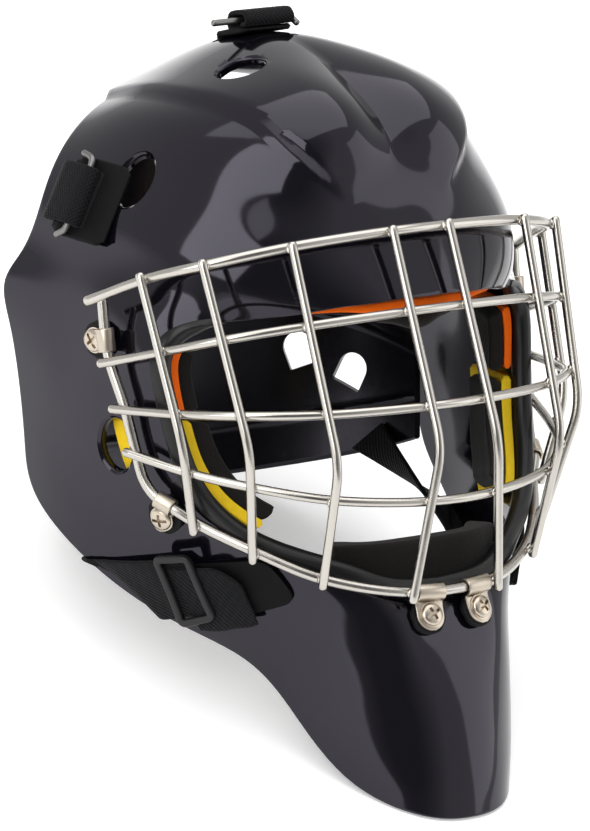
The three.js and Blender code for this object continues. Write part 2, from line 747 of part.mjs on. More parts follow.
// ---- foam pads ------------------------------------------------------------------------------
// A coloured liner lies under each dark comfort pad.  Pads across the middle lie along the
// shell: lift is the height of their two faces over its outer surface.
const MIDDLE_PADS = [
  { name: 'brow_liner', finish: 'orange', angles: [-233, -127], across: [-0.03, 0.3], lift: [-5, -7] },
  { name: 'brow_pad', finish: 'foam', angles: [-230, -130], across: [-0.055, 0.28], lift: [-8, -14] },
  { name: 'chin_pad', finish: 'foam', angles: [-38, 38], across: [-0.2, 0.36], lift: [-6.9, -18] },
];
// Pads of one side start behind the welt and grow towards the face axis by depth.
const SIDE_LIFT = -6.4;
const SIDE_PADS = [
  { name: 'temple_liner', finish: 'orange', angles: [91, 108], across: [-0.02, 0.5], depth: [0, 4] },
  { name: 'temple_pad', finish: 'foam', angles: [91, 108], across: [-0.01, 0.38], depth: [4.5, 12] },
  { name: 'jaw_liner', finish: 'yellow', angles: [57, 89], across: [-0.03, 0.52], depth: [0, 5] },
  { name: 'jaw_pad', finish: 'foam', angles: [57, 88], across: [-0.02, 0.4], depth: [5.5, 14.5] },
];

function sidePad({ angles, across, depth }, sign) {
  return slab(7, 5, (s, t, face) => {
    const angle = sign * THREE.MathUtils.lerp(angles[0], angles[1], s);
    const place = THREE.MathUtils.lerp(across[0], across[1], t);
    const inward = vec(-Math.sin(degrees(angle)), 0, Math.cos(degrees(angle)));
    return shellOffset(angle, place, SIDE_LIFT).addScaledVector(inward, depth[face]);
  });
}

// ---- straps ---------------------------------------------------------------------------------
const WEBBING = 1.8;
const WEBBING_WIDTH = 25;
const STRAP_LIFT = 0.7; // clearance of webbing over the curved shell
const STRAP_BELOW = 3; // how far a head strap drops inside the shell before it turns back

// The head straps: each loops round a wire hook outside the shell, goes in through its slot and
// ends on the back plate, between two corners (turn, height) that run up the webbing's width.
const HEAD_STRAPS = {
  side: {
    slot: SIDE_SLOT,
    loop: { across: 0.878, over: 20, high: 7.5 },
    plate: { low: [0.96, 0.9], high: [0.84, 1.03], slide: [-0.1, -0.06] },
    hook: { height: 0.5, y: -5, from: 15.2, to: -15.2, foot: [-16.5, 7, 1.2] },
  },
  crown: {
    slot: CROWN_SLOT,
    loop: { across: 0.835, over: 14, high: 9.2 },
    plate: { low: [0.085, 1.03], high: [-0.085, 1.03], slide: [0, -0.2] },
    hook: { height: 0.52, y: -1, from: -25, to: 14.6, foot: [14.6, -4.5, 5] },
  },
};
const NECK_PLAY = 0.4; // how much fuller the webbing is where it folds through the slot
const HOOK_WIRE = 1.4;
const LOOP_LIFT = 0.8; // clearance of a loop's flat foot over the curved shell

// The outline of the loop: a flat oval, shrunk by inset.
function loopOutline({ over, high }, inset, Outline) {
  const round = high / 2 - inset;
  const straight = over / 2 - high / 2;
  const outline = new Outline();
  outline.absarc(-straight, high / 2, round, Math.PI / 2, (3 * Math.PI) / 2, false);
  outline.absarc(straight, high / 2, round, -Math.PI / 2, Math.PI / 2, false);
  return outline;
}

function loopBody({ slot, loop }, sign) {
  const shape = loopOutline(loop, 0, THREE.Shape);
  shape.holes.push(loopOutline(loop, WEBBING, THREE.Path));
  const options = { depth: WEBBING_WIDTH, bevelEnabled: false, curveSegments: 3 };
  const ring = new THREE.ExtrudeGeometry(shape, options);
  ring.translate(0, LOOP_LIFT, -WEBBING_WIDTH / 2);
  // the drawing's x, y and depth become the shell's across, out and along directions
  ring.applyMatrix4(new THREE.Matrix4().makeBasis(vec(0, 1, 0), vec(0, 0, 1), vec(1, 0, 0)));
  return solidOf(ring.applyMatrix4(shellFrame(sign * slot.angle, loop.across)));
}

function headStrapBody(strap, sign) {
  const { slot, loop, plate } = strap;
  const slotFrame = shellFrame(sign * slot.angle, slot.across);
  const loopFrame = shellFrame(sign * slot.angle, loop.across);
  const top = STRAP_LIFT + WEBBING;
  const bottom = -SHELL_WALL - STRAP_BELOW;
  const wide = (s) => WEBBING_WIDTH * (s - 0.5);
  const side = Math.sign(slot.across - loop.across); // which side of the loop the slot is on
  const neck = new THREE.BoxGeometry(WEBBING_WIDTH + NECK_PLAY, WEBBING + NECK_PLAY, top - bottom);
  neck.translate(0, 0, (top + bottom) / 2).applyMatrix4(slotFrame);
  const foot = slab(2, 2, (s, t, face) => {
    const from = vec(wide(s), (side * WEBBING) / 2, STRAP_LIFT + WEBBING * face - NECK_PLAY / 2);
    const to = vec(wide(s), side * ((loop.over - loop.high) / 2 - 1), LOOP_LIFT + WEBBING * face);
    return from.applyMatrix4(slotFrame).lerp(to.applyMatrix4(loopFrame), t);
  });
  const lead = slab(3, 10, (s, t, face) => {
    const shellSide = vec(wide(s), WEBBING * (face - 0.5), bottom + NECK_PLAY).applyMatrix4(slotFrame);
    const down = Math.max(0, t - 0.6) / 0.4;
    const width = sign < 0 ? s : 1 - s;
    const turn = THREE.MathUtils.lerp(plate.low[0], plate.high[0], width) + plate.slide[0] * down;
    const height = THREE.MathUtils.lerp(plate.low[1], plate.high[1], width) + plate.slide[1] * down;
    const plateSide = platePoint(sign * turn, height, -STRAP_LIFT - WEBBING * face);
    return shellSide.lerp(plateSide, Math.min(t / 0.6, 1));
  });
  return loopBody(strap, sign).add(solidOf(foot)).add(solidOf(neck)).add(solidOf(lead));
}

// The wire hook: a pin through the loop, bent over at one end.
function hookBody({ slot, loop, hook }, sign) {
  const z = LOOP_LIFT + loop.high * hook.height;
  const [footX, footY, footZ] = hook.foot;
  const points = [
    vec(sign * hook.from, hook.y, z),
    vec(sign * hook.from * 0.6, hook.y, z),
    vec(0, hook.y, z),
    vec(sign * hook.to * 0.6, hook.y, z),
    vec(sign * hook.to, hook.y, z),
    vec(sign * footX, hook.y + footY, z - footZ),
  ];
  const curve = new THREE.CatmullRomCurve3(points, false, 'centripetal');
  const wire = wireGeometry(curve, HOOK_WIRE, 12);
  return wire.applyMatrix4(shellFrame(sign * slot.angle, loop.across));
}

// The jaw strap: flat webbing from the buckle back along the shell, round the lower rim, folded
// under it and up to the back plate.  It rises over the anchor band towards the buckle.
const JAW_STRAP = {
  half: 6.6, from: 0.5, rim: 1.004, start: 46.8, slant: 3.7, lift: 1.3, rise: 1.8, fold: 0.022,
};
const JAW_ANCHOR = { angles: [37, 49], across: [0.28, 0.7], thick: 1.6, slant: 8.3 };
const JAW_BUCKLE = { angle: 49, across: 0.59, along: 31, over: 24, bar: 3, thick: 2.4, turn: 10 };
const OUTSIDE_STEPS = 13; // stations of the strap over the shell
const PLATE_HOLD = { turn: [0.74, 0.86], height: [0.02, 0.09] };

// Where the jaw strap's middle runs at a place across the shell.
function jawAngle(across) {
  const { start, slant, from, rim } = JAW_STRAP;
  return start + (slant * (across - from)) / (rim - from);
}

function jawLift(across) {
  const up = THREE.MathUtils.smoothstep(0.92 - across, 0, 0.2);
  return JAW_STRAP.lift + JAW_STRAP.rise * up;
}

// The strap's middle plane at each station along its length, for s from 0 to 1 over its width:
// over the shell, round the rim, under the shell and then straight to the plate.
function jawStations(sign) {
  const { half, from, rim, fold, lift } = JAW_STRAP;
  const outer = WEBBING / 2;
  const inner = -SHELL_WALL - lift - WEBBING / 2;
  const angle = (place, s) => sign * (jawAngle(place) + half * (2 * s - 1));
  const stations = [];
  for (let step = 0; step <= OUTSIDE_STEPS; step += 1) {
    const place = THREE.MathUtils.lerp(from, rim, step / OUTSIDE_STEPS);
    stations.push((s) => shellOffset(angle(place, s), place, jawLift(place) + outer));
  }
  for (const [place, height] of [[rim + fold, 0], [rim + fold, -SHELL_WALL], [rim - fold, inner]]) {
    stations.push((s) => shellOffset(angle(place, s), place, height));
  }
  const last = rim - 3 * fold;
  stations.push((s) => shellOffset(angle(last, s), last, inner));
  for (const part of [1 / 3, 2 / 3, 1]) {
    stations.push((s) => {
      const turn = THREE.MathUtils.lerp(PLATE_HOLD.turn[0], PLATE_HOLD.turn[1], 1 - s);
      const height = THREE.MathUtils.lerp(PLATE_HOLD.height[0], PLATE_HOLD.height[1], 1 - s);
      const plateSide = platePoint(sign * turn, height, PLATE.wall + STRAP_LIFT + outer);
      return shellOffset(angle(last, s), last, inner).lerp(plateSide, part);
    });
  }
  return stations;
}

function jawStrapBody(sign) {
  const stations = jawStations(sign);
  const last = stations.length - 1;
  return slab(3, last, (s, t, face) => {
    const k = Math.round(t * last);
    const along = stations[Math.min(k + 1, last)](s).sub(stations[Math.max(k - 1, 0)](s));
    const wide = stations[k](1).sub(stations[k](0));
    const out = wide.cross(along).normalize();
    return stations[k](s).addScaledVector(out, WEBBING * (face - 0.5));
  });
}

function jawAnchorBody(sign) {
  const { angles, across, thick, slant } = JAW_ANCHOR;
  return shellPatch({
    angles: angles.map((angle) => sign * angle),
    across,
    slant: sign * slant,
    lift: [STRAP_LIFT - GAP, STRAP_LIFT - GAP + thick],
    steps: [4, 8],
  });
}

// The slide buckle: a flat frame with rounded corners that stands over the strap.
function buckleBody(sign) {
  const { angle, across, along, over, bar, thick, turn } = JAW_BUCKLE;
  const corners = (Outline, width, length, round) => {
    const [w, l] = [width / 2, length / 2];
    const outline = new Outline();
    outline.moveTo(-w + round, -l);
    outline.lineTo(w - round, -l);
    outline.absarc(w - round, -l + round, round, -Math.PI / 2, 0, false);
    outline.absarc(w - round, l - round, round, 0, Math.PI / 2, false);
    outline.absarc(-w + round, l - round, round, Math.PI / 2, Math.PI, false);
    outline.absarc(-w + round, -l + round, round, Math.PI, 1.5 * Math.PI, false);
    return outline;
  };
  const shape = corners(THREE.Shape, along, over, bar);
  shape.holes.push(corners(THREE.Path, along - 2 * bar, over - 2 * bar, bar * 0.35));
  const frame = new THREE.ExtrudeGeometry(shape, { depth: thick, bevelEnabled: false, curveSegments: 3 });
  frame.rotateZ(degrees(sign * turn));
  frame.translate(0, 0, jawLift(across) + WEBBING + GAP);
  return frame.applyMatrix4(shellFrame(sign * angle, across));
}

// ---- assembly ---------------------------------------------------------------------------
const mask = new THREE.Group();
mask.rotation.x = degrees(-REST_TILT);
mask.position.set(0, REST_SHIFT_Y, FLOOR_DROP);

const paint = (color, roughness, metalness) =>
  new THREE.MeshStandardMaterial({ color, roughness, metalness });
const finishes = {
  gloss: () => paint('#1b1b1e', 0.15, 0),
  steel: () => paint('#c9c6c0', 0.25, 1),
  nickel: () => paint('#c2b8a8', 0.3, 1),
  rubber: () => paint('#161616', 0.7, 0),
  foam: () => paint('#2b2826', 0.95, 0),
  orange: () => paint('#e8731f', 0.8, 0),
  yellow: () => paint('#d2b83a', 0.8, 0),
  webbing: () => paint('#1d1d1f', 0.9, 0),
  plastic: () => paint('#26262a', 0.5, 0),
};

function add(name, geometry, finish) {
  const mesh = new THREE.Mesh(geometry, finish());
  mesh.name = name;
  mask.add(mesh);
}

function shellBody() {
  const rings = [];
  for (let step = 0; step < SHELL_ROUND; step += 1) {
    const angle = (360 * step) / SHELL_ROUND - 180;
    const ring = [];
    for (let row = 0; row <= SHELL_ACROSS; row += 1) {
      ring.push(shellOffset(angle, row / SHELL_ACROSS, 0));
    }
    for (let row = SHELL_ACROSS; row >= 0; row -= 1) {
      ring.push(shellOffset(angle, row / SHELL_ACROSS, -SHELL_WALL));
    }
    rings.push(ring);
  }
  let shell = solidOf(loft(rings, true));
  for (const { sign } of SIDES) {
    for (const oval of SHELL_OVALS) {
      shell = shell.subtract(shellCutter(ovalShape(oval, sign), oval, sign));
    }
    shell = shell.subtract(shellCutter(slotShape(SIDE_SLOT), SIDE_SLOT, sign));
  }
  for (const clip of CLIPS) {
    for (const { sign } of SIDES) {
      const drill = cylinder(SCREW_HOLE, -12, 6, 10).applyMatrix4(clipFrame(clip, sign).matrix);
      shell = shell.subtract(solidOf(drill));
    }
  }
  return shell.subtract(shellCutter(slotShape(CROWN_SLOT), CROWN_SLOT, 1)).subtract(underFloor());
}

// Everything below the surface that the mask rests on, to cut flat feet.
function underFloor() {
  const deep = 40;
  const slabBelow = new THREE.BoxGeometry(400, 500, deep);
  slabBelow.translate(0, 0, -deep / 2);
  mask.updateMatrix();
  return solidOf(slabBelow.applyMatrix4(mask.matrix.clone().invert()));
}

add('shell', geometryOf(shellBody()), finishes.gloss);
add('cage', geometryOf(cageBody()), finishes.steel);
add('opening_welt', loft(weltBody()), finishes.rubber);
add('back_plate', geometryOf(plateBody()), finishes.gloss);
for (const { side, sign } of SIDES) {
  for (const clip of CLIPS) {
    add(`${clip.name}_clip_${side}`, clipBody(clip, sign), finishes.nickel);
    add(`${clip.name}_screw_${side}`, screwBody(clip, sign), finishes.nickel);
    add(`${clip.name}_clip_pad_${side}`, padBody(clip, sign), finishes.rubber);
  }
}
for (const pad of MIDDLE_PADS) {
  add(pad.name, shellPatch({ ...pad, steps: [14, 4] }), finishes[pad.finish]);
}
for (const { side, sign } of SIDES) {
  for (const pad of SIDE_PADS) {
    add(`${pad.name}_${side}`, sidePad(pad, sign), finishes[pad.finish]);
  }
  add(`side_strap_${side}`, geometryOf(headStrapBody(HEAD_STRAPS.side, sign)), finishes.webbing);
  add(`side_strap_hook_${side}`, hookBody(HEAD_STRAPS.side, sign), finishes.nickel);
  add(`jaw_strap_${side}`, jawStrapBody(sign), finishes.webbing);
  add(`jaw_anchor_${side}`, jawAnchorBody(sign), finishes.webbing);
  add(`jaw_buckle_${side}`, buckleBody(sign), finishes.plastic);
}
add('crown_strap', geometryOf(headStrapBody(HEAD_STRAPS.crown, 1)), finishes.webbing);
add('crown_strap_hook', hookBody(HEAD_STRAPS.crown, 1), finishes.nickel);

export default mask;
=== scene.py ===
"""Ice hockey goalie mask: a gloss black shell with its wire cage, clips, pads, plate and straps.

Shapes are worked out in the wearing frame (millimetres, the face looks towards -Y, the wearer's
left is +X, +Z is up, the origin is the middle of the cage's top wire) and are then laid back onto
the floor, in metres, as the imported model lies.
"""

import logging
import math
from dataclasses import dataclass
from enum import Enum
from functools import lru_cache
from typing import Callable, Sequence

import bmesh
import bpy
from mathutils import Matrix, Vector, noise


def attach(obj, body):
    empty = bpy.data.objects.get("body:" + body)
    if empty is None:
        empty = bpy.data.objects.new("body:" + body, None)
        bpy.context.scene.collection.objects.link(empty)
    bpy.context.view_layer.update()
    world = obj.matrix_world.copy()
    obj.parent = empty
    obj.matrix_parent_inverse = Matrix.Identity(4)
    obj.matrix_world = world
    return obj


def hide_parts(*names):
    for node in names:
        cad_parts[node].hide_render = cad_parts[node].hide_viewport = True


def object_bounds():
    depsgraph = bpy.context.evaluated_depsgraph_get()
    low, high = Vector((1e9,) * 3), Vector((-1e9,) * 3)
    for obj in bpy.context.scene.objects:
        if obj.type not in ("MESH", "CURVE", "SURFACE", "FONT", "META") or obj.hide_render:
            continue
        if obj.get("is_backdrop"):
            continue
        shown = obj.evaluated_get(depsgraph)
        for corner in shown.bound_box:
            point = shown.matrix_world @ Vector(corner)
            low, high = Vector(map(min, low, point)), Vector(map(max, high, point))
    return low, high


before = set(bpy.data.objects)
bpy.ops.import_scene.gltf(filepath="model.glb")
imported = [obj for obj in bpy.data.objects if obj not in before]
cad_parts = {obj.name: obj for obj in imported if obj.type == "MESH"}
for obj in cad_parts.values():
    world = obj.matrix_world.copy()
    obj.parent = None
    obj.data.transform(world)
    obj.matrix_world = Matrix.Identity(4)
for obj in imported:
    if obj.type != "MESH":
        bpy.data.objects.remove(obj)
CAD_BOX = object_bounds()

Body = bmesh.types.BMesh
Socket = bpy.types.NodeSocket

LOG = logging.getLogger("goalie_mask")

MM = 0.001
REST_TILT = math.radians(25.0)  # how far the mask leans back as it lies
REST_SHIFT_Y = -20.4  # the wearing frame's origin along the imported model's Y, in millimetres
FLOOR_DROP = 200.4  # height of the wearing frame's origin over the floor, in millimetres
SHELL_WALL = 4.0  # the shell's thickness
AXIS_Z = -75.0  # height of the face axis, which the shell's angles turn round
SIDES = (("right", -1), ("left", 1))
CURVE_STEPS = 16  # places worked out on each stretch of a curve
WIRE_DOME = ((1.0, 0.62), (0.6, 0.86))  # a wire's end: share of its height, and of the radius there

# Edges that turn by more degrees than this stay sharp.
SHARP_SCREW = 35.0
SHARP_MOULDING = 38.0
SHARP_SHEET = 40.0
SHARP_RUBBER = 50.0
SHARP_WIRE = 60.0  # also webbing
SHARP_FOAM = 70.0


# ---- small helpers --------------------------------------------------------------------------
def rest(point: Vector) -> Vector:
    """Lays a point of the wearing frame (millimetres) onto the floor, in metres.

    Args:
        point: a place in the wearing frame, in millimetres.

    Returns:
        The same place in the row frame, in metres.
    """
    cos, sin = math.cos(REST_TILT), math.sin(REST_TILT)
    y = point.y * cos + point.z * sin + REST_SHIFT_Y
    z = point.z * cos - point.y * sin + FLOOR_DROP
    return Vector((point.x, y, z)) * MM


def rest_direction(direction: Vector) -> Vector:
    """Turns a direction of the wearing frame as rest() turns a point."""
    return Matrix.Rotation(-REST_TILT, 3, "X") @ direction


def mix(a: float, b: float, t: float) -> float:
    """The number a part t of the way from a to b."""
    return a + (b - a) * t


def smooth(t: float) -> float:
    """A smooth step from 0 to 1 as t goes from 0 to 1."""
    t = min(max(t, 0.0), 1.0)
    return t * t * (3 - 2 * t)


def rounding(t: float) -> float:
    """A quarter circle's height, from 0 at its foot to 1 at its top, as t goes from 0 to 1."""
    return math.sqrt(max(0.0, 1 - (1 - min(t, 1.0)) ** 2))


def on_circle(turn: float) -> Vector:
    """The place at an angle on a circle of radius 1."""
    return Vector((math.cos(turn), math.sin(turn)))


def through(stations: Sequence[tuple[float, float]], at: float) -> float:
    """The value at a place on a smooth line through stations.

    Args:
        stations: pairs of place and value, in order.
        at: the place.

    Returns:
        The value, which stays level past the ends.
    """
    last = len(stations) - 1
    if at <= stations[0][0]:
        return stations[0][1]
    if at >= stations[last][0]:
        return stations[last][1]
    k = next(n for n in range(last) if at <= stations[n + 1][0])

    def slope(n: int) -> float:
        """The line's slope at a station, level at both ends."""
        if n in (0, last):
            return 0.0
        before, after = stations[n - 1], stations[n + 1]
        return (after[1] - before[1]) / (after[0] - before[0])

    span = stations[k + 1][0] - stations[k][0]
    t = (at - stations[k][0]) / span
    low, high = stations[k][1], stations[k + 1][1]
    curve = (2 * t**3 - 3 * t**2 + 1) * low + (3 * t**2 - 2 * t**3) * high
    return curve + span * ((t**3 - 2 * t**2 + t) * slope(k) + (t**3 - t**2) * slope(k + 1))


def spaced(points: Sequence[Vector], count: int) -> list[Vector]:
    """Evenly spaced places along a line of points.

    Args:
        points: the line.
        count: how many places to give back, both ends included.

    Returns:
        The places.
    """
    lengths = [0.0]
    for a, b in zip(points, points[1:]):
        lengths.append(lengths[-1] + (b - a).length)
    places = []
    k = 0
    for step in range(count):
        wanted = lengths[-1] * step / (count - 1)
        while k < len(points) - 2 and lengths[k + 1] < wanted:
            k += 1
        span = max(lengths[k + 1] - lengths[k], 1e-9)
        places.append(points[k].lerp(points[k + 1], (wanted - lengths[k]) / span))
    return places


def catmull(points: Sequence[Vector], count: int) -> list[Vector]:
    """Evenly spaced places on a centripetal Catmull-Rom curve through the points.

    Args:
        points: the places that the curve goes through.
        count: how many places to give back.

    Returns:
        The places, both ends included.
    """
    full = [points[0] * 2 - points[1], *points, points[-1] * 2 - points[-2]]
    dense: list[Vector] = []
    for a, b, c, d in zip(full, full[1:], full[2:], full[3:]):
        first, middle, last = (max((q - p).length ** 0.5, 1e-4) for p, q in ((a, b), (b, c), (c, d)))
        leave = (b - a) / first - (c - a) / (first + middle) + (c - b) / middle
        reach = (c - b) / middle - (d - b) / (middle + last) + (d - c) / last
        leave, reach = leave * middle, reach * middle
        for step in range(CURVE_STEPS):
            t = step / CURVE_STEPS
            bow = (b - c) * 2 + leave + reach
            rise = (c - b) * 3 - leave * 2 - reach
            dense.append(b + leave * t + rise * t**2 + bow * t**3)
    dense.append(points[-1].copy())
    return spaced(dense, count)


# ---- mesh making ----------------------------------------------------------------------------
def shade(mesh: bpy.types.Mesh, sharp: float) -> None:
    """Shades a mesh smooth, apart from its edges that turn by more degrees than sharp."""
    mesh.polygons.foreach_set("use_smooth", [True] * len(mesh.polygons))
    mesh.set_sharp_from_angle(angle=math.radians(sharp))


def finished(name: str, bm: Body, sharp: float = SHARP_MOULDING) -> bpy.types.Object:
    """Turns a bmesh into a smooth-shaded object in the scene.

    Args:
        name: the piece's name.
        bm: the shape, in metres in the row frame; it is freed.
        sharp: edges that turn by more degrees than this stay sharp.

    Returns:
        The object, at the origin.
    """
    mesh = bpy.data.meshes.new(name)
    bm.to_mesh(mesh)
    bm.free()
    shade(mesh, sharp)
    piece = bpy.data.objects.new(name, mesh)
    bpy.context.scene.collection.objects.link(piece)
    return piece


def sheet_grid(
    along: int, over: int, place: Callable[[float, float], Vector], size: tuple[float, float] = (1.0, 1.0)
) -> Body:
    """A grid laid onto a surface.

    Args:
        along: quads along the first direction.
        over: quads along the second direction.
        place: gives the place in the row frame for two numbers from 0 to 1.
        size: real length and width in metres, which the UV map is made to.

    Returns:
        The grid as a bmesh, open at its edges.
    """
    bm = bmesh.new()
    bmesh.ops.create_grid(bm, x_segments=along, y_segments=over, size=0.5)
    uv = bm.loops.layers.uv.new("surface")
    for face in bm.faces:
        for loop in face.loops:
            spot = loop.vert.co
            loop[uv].uv = ((spot.x + 0.5) * size[0], (spot.y + 0.5) * size[1])
    for vert in bm.verts:
        vert.co = place(vert.co.x + 0.5, vert.co.y + 0.5)
    return bm


def rounded_section(width: float, height: float, radius: float, steps: int = 3) -> list[Vector]:
    """The outline of a flat bar with round corners, anticlockwise, round its middle.

    Args:
        width: its size along x.
        height: its size along y.
        radius: the corners' radius, kept below half of either size.
        steps: facets on each corner.

    Returns:
        The outline's places.
    """
    radius = min(radius, width * 0.499, height * 0.499)
    outline = []
    for k, (sx, sy) in enumerate(((1, -1), (1, 1), (-1, 1), (-1, -1))):
        centre = Vector((sx * (width / 2 - radius), sy * (height / 2 - radius)))
        for step in range(steps + 1):
            turn = math.radians(-90 + 90 * k + 90 * step / steps)
            outline.append(centre + on_circle(turn) * radius)
    return outline


def split_long(outline: Sequence[Vector], longest: float) -> list[Vector]:
    """The same closed outline with its long sides cut into shorter ones.

    Args:
        outline: the places round it.
        longest: the longest side allowed.

    Returns:
        The places, old and new.
    """
    places = []
    for a, b in zip(outline, [*outline[1:], outline[0]]):
        cuts = max(1, math.ceil((b - a).length / longest))
        places.extend(a.lerp(b, cut / cuts) for cut in range(cuts))
    return places


def carried(
    section: Sequence[Vector],
    along: int,
    place: Callable[[float, float, float], Vector],
    length: float = 0.1,
    closed: bool = False,
) -> Body:
    """A closed body: a section carried along a path.

    Args:
        section: the section's outline in two numbers, in millimetres.
        along: rings along the path.
        place: gives the place in the row frame for a part 0 to 1 of the path and a section place.
        length: the path's length in metres, for the UV map.
        closed: whether the path comes back to its start.

    Returns:
        The body as a bmesh.
    """
    around = len(section)
    girth = sum((b - a).length for a, b in zip(section, section[1:])) * MM

    def spot(u: float, v: float) -> Vector:
        """The body's place for the grid's two numbers."""
        corner = section[round(v * around) % around]
        return place(u, corner.x, corner.y)

    bm = sheet_grid(along, around, spot, (length, girth))
    bmesh.ops.remove_doubles(bm, verts=bm.verts[:], dist=1e-7)
    if not closed:
        rims = [edge for edge in bm.edges if edge.is_boundary]
        bmesh.ops.holes_fill(bm, edges=rims, sides=0)
    bmesh.ops.recalc_face_normals(bm, faces=bm.faces[:])
    return bm


def tube(points: Sequence[Vector], radius: float, sides: int = 16, dome: float = 0.6) -> Body:
    """A round wire along a line of places of the wearing frame, with softened ends.

    Args:
        points: evenly spaced places, in millimetres.
        radius: the wire's radius in millimetres.
        sides: facets round it.
        dome: how much of the radius the ends' rounding takes.

    Returns:
        The wire as a bmesh.
    """
    last = len(points) - 1
    tangents = [(points[min(k + 1, last)] - points[max(k - 1, 0)]).normalized() for k in range(last + 1)]
    ups = [tangents[0].orthogonal().normalized()]
    for tangent in tangents[1:]:
        ups.append((ups[-1] - tangent * ups[-1].dot(tangent)).normalized())
    rings = [(0, -dome * height, full) for height, full in WIRE_DOME]
    rings += [(k, 0.0, 1.0) for k in range(last + 1)]
    rings += [(last, dome * height, full) for height, full in reversed(WIRE_DOME)]
    circle = [on_circle(2 * math.pi * k / sides) * radius for k in range(sides)]

    def place(u: float, x: float, y: float) -> Vector:
        """A place on the wire's skin.

        Args:
            u: part 0 to 1 of the wire.
            x: its place along the ring's own up.
            y: its place across it.

        Returns:
            The place in the row frame.
        """
        k, beyond, full = rings[round(u * (len(rings) - 1))]
        side = tangents[k].cross(ups[k])
        middle = points[k] + tangents[k] * beyond * radius
        return rest(middle + (ups[k] * x + side * y) * full)

    length = sum((b - a).length for a, b in zip(points, points[1:])) * MM
    return carried(circle, len(rings) - 1, place, length)


def joined(parts: Sequence[Body]) -> Body:
    """Puts several bodies into one bmesh.

    Args:
        parts: the bodies; they are freed.

    Returns:
        The bmesh that holds them all.
    """
    whole = bmesh.new()
    for part in parts:
        mesh = bpy.data.meshes.new("part")
        part.to_mesh(mesh)
        part.free()
        whole.from_mesh(mesh)
        bpy.data.meshes.remove(mesh)
    return whole


def cut(
    piece: bpy.types.Object, cutters: Sequence[Body], sharp: float = SHARP_MOULDING
) -> None:
    """Cuts bodies out of a piece for good.

    Args:
        piece: the object that is cut; its other modifiers are applied first.
        cutters: closed bodies in the row frame; they are freed.
        sharp: edges that turn by more degrees than this stay sharp.
    """
    tool = finished("cutter", joined(cutters))
    hole = piece.modifiers.new("cut", "BOOLEAN")
    hole.object = tool
    hole.solver = "MANIFOLD"
    bake(piece, sharp)
    bpy.data.meshes.remove(tool.data)


def bake(piece: bpy.types.Object, sharp: float = SHARP_MOULDING) -> None:
    """Applies a piece's modifiers to its mesh.

    Args:
        piece: the object; its mesh is a new one afterwards.
        sharp: edges that turn by more degrees than this stay sharp.
    """
    seen = piece.evaluated_get(bpy.context.evaluated_depsgraph_get())
    mesh = bpy.data.meshes.new_from_object(seen)
    piece.modifiers.clear()
    old = piece.data
    piece.data = mesh
    mesh.name = piece.name
    bpy.data.meshes.remove(old)
    shade(mesh, sharp)


def placed(piece: bpy.types.Object, material: bpy.types.Material, slot: str, *nodes: str) -> bpy.types.Object:
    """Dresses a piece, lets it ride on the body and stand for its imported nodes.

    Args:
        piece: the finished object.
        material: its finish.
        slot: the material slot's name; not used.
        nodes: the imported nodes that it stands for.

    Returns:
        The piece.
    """
    piece.data.materials.clear()
    piece.data.materials.append(material)
    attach(piece, "root")
    if nodes:
        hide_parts(*nodes)
    LOG.info("%s: %d faces", piece.name, len(piece.data.polygons))
    return piece


# ---- the shell's surface --------------------------------------------------------------------
@dataclass(frozen=True)
class Section:
    """One section of the shell: at is its angle, y and r its stations from opening to rim."""

    at: float
    y: tuple[float, ...]
    r: tuple[float, ...]


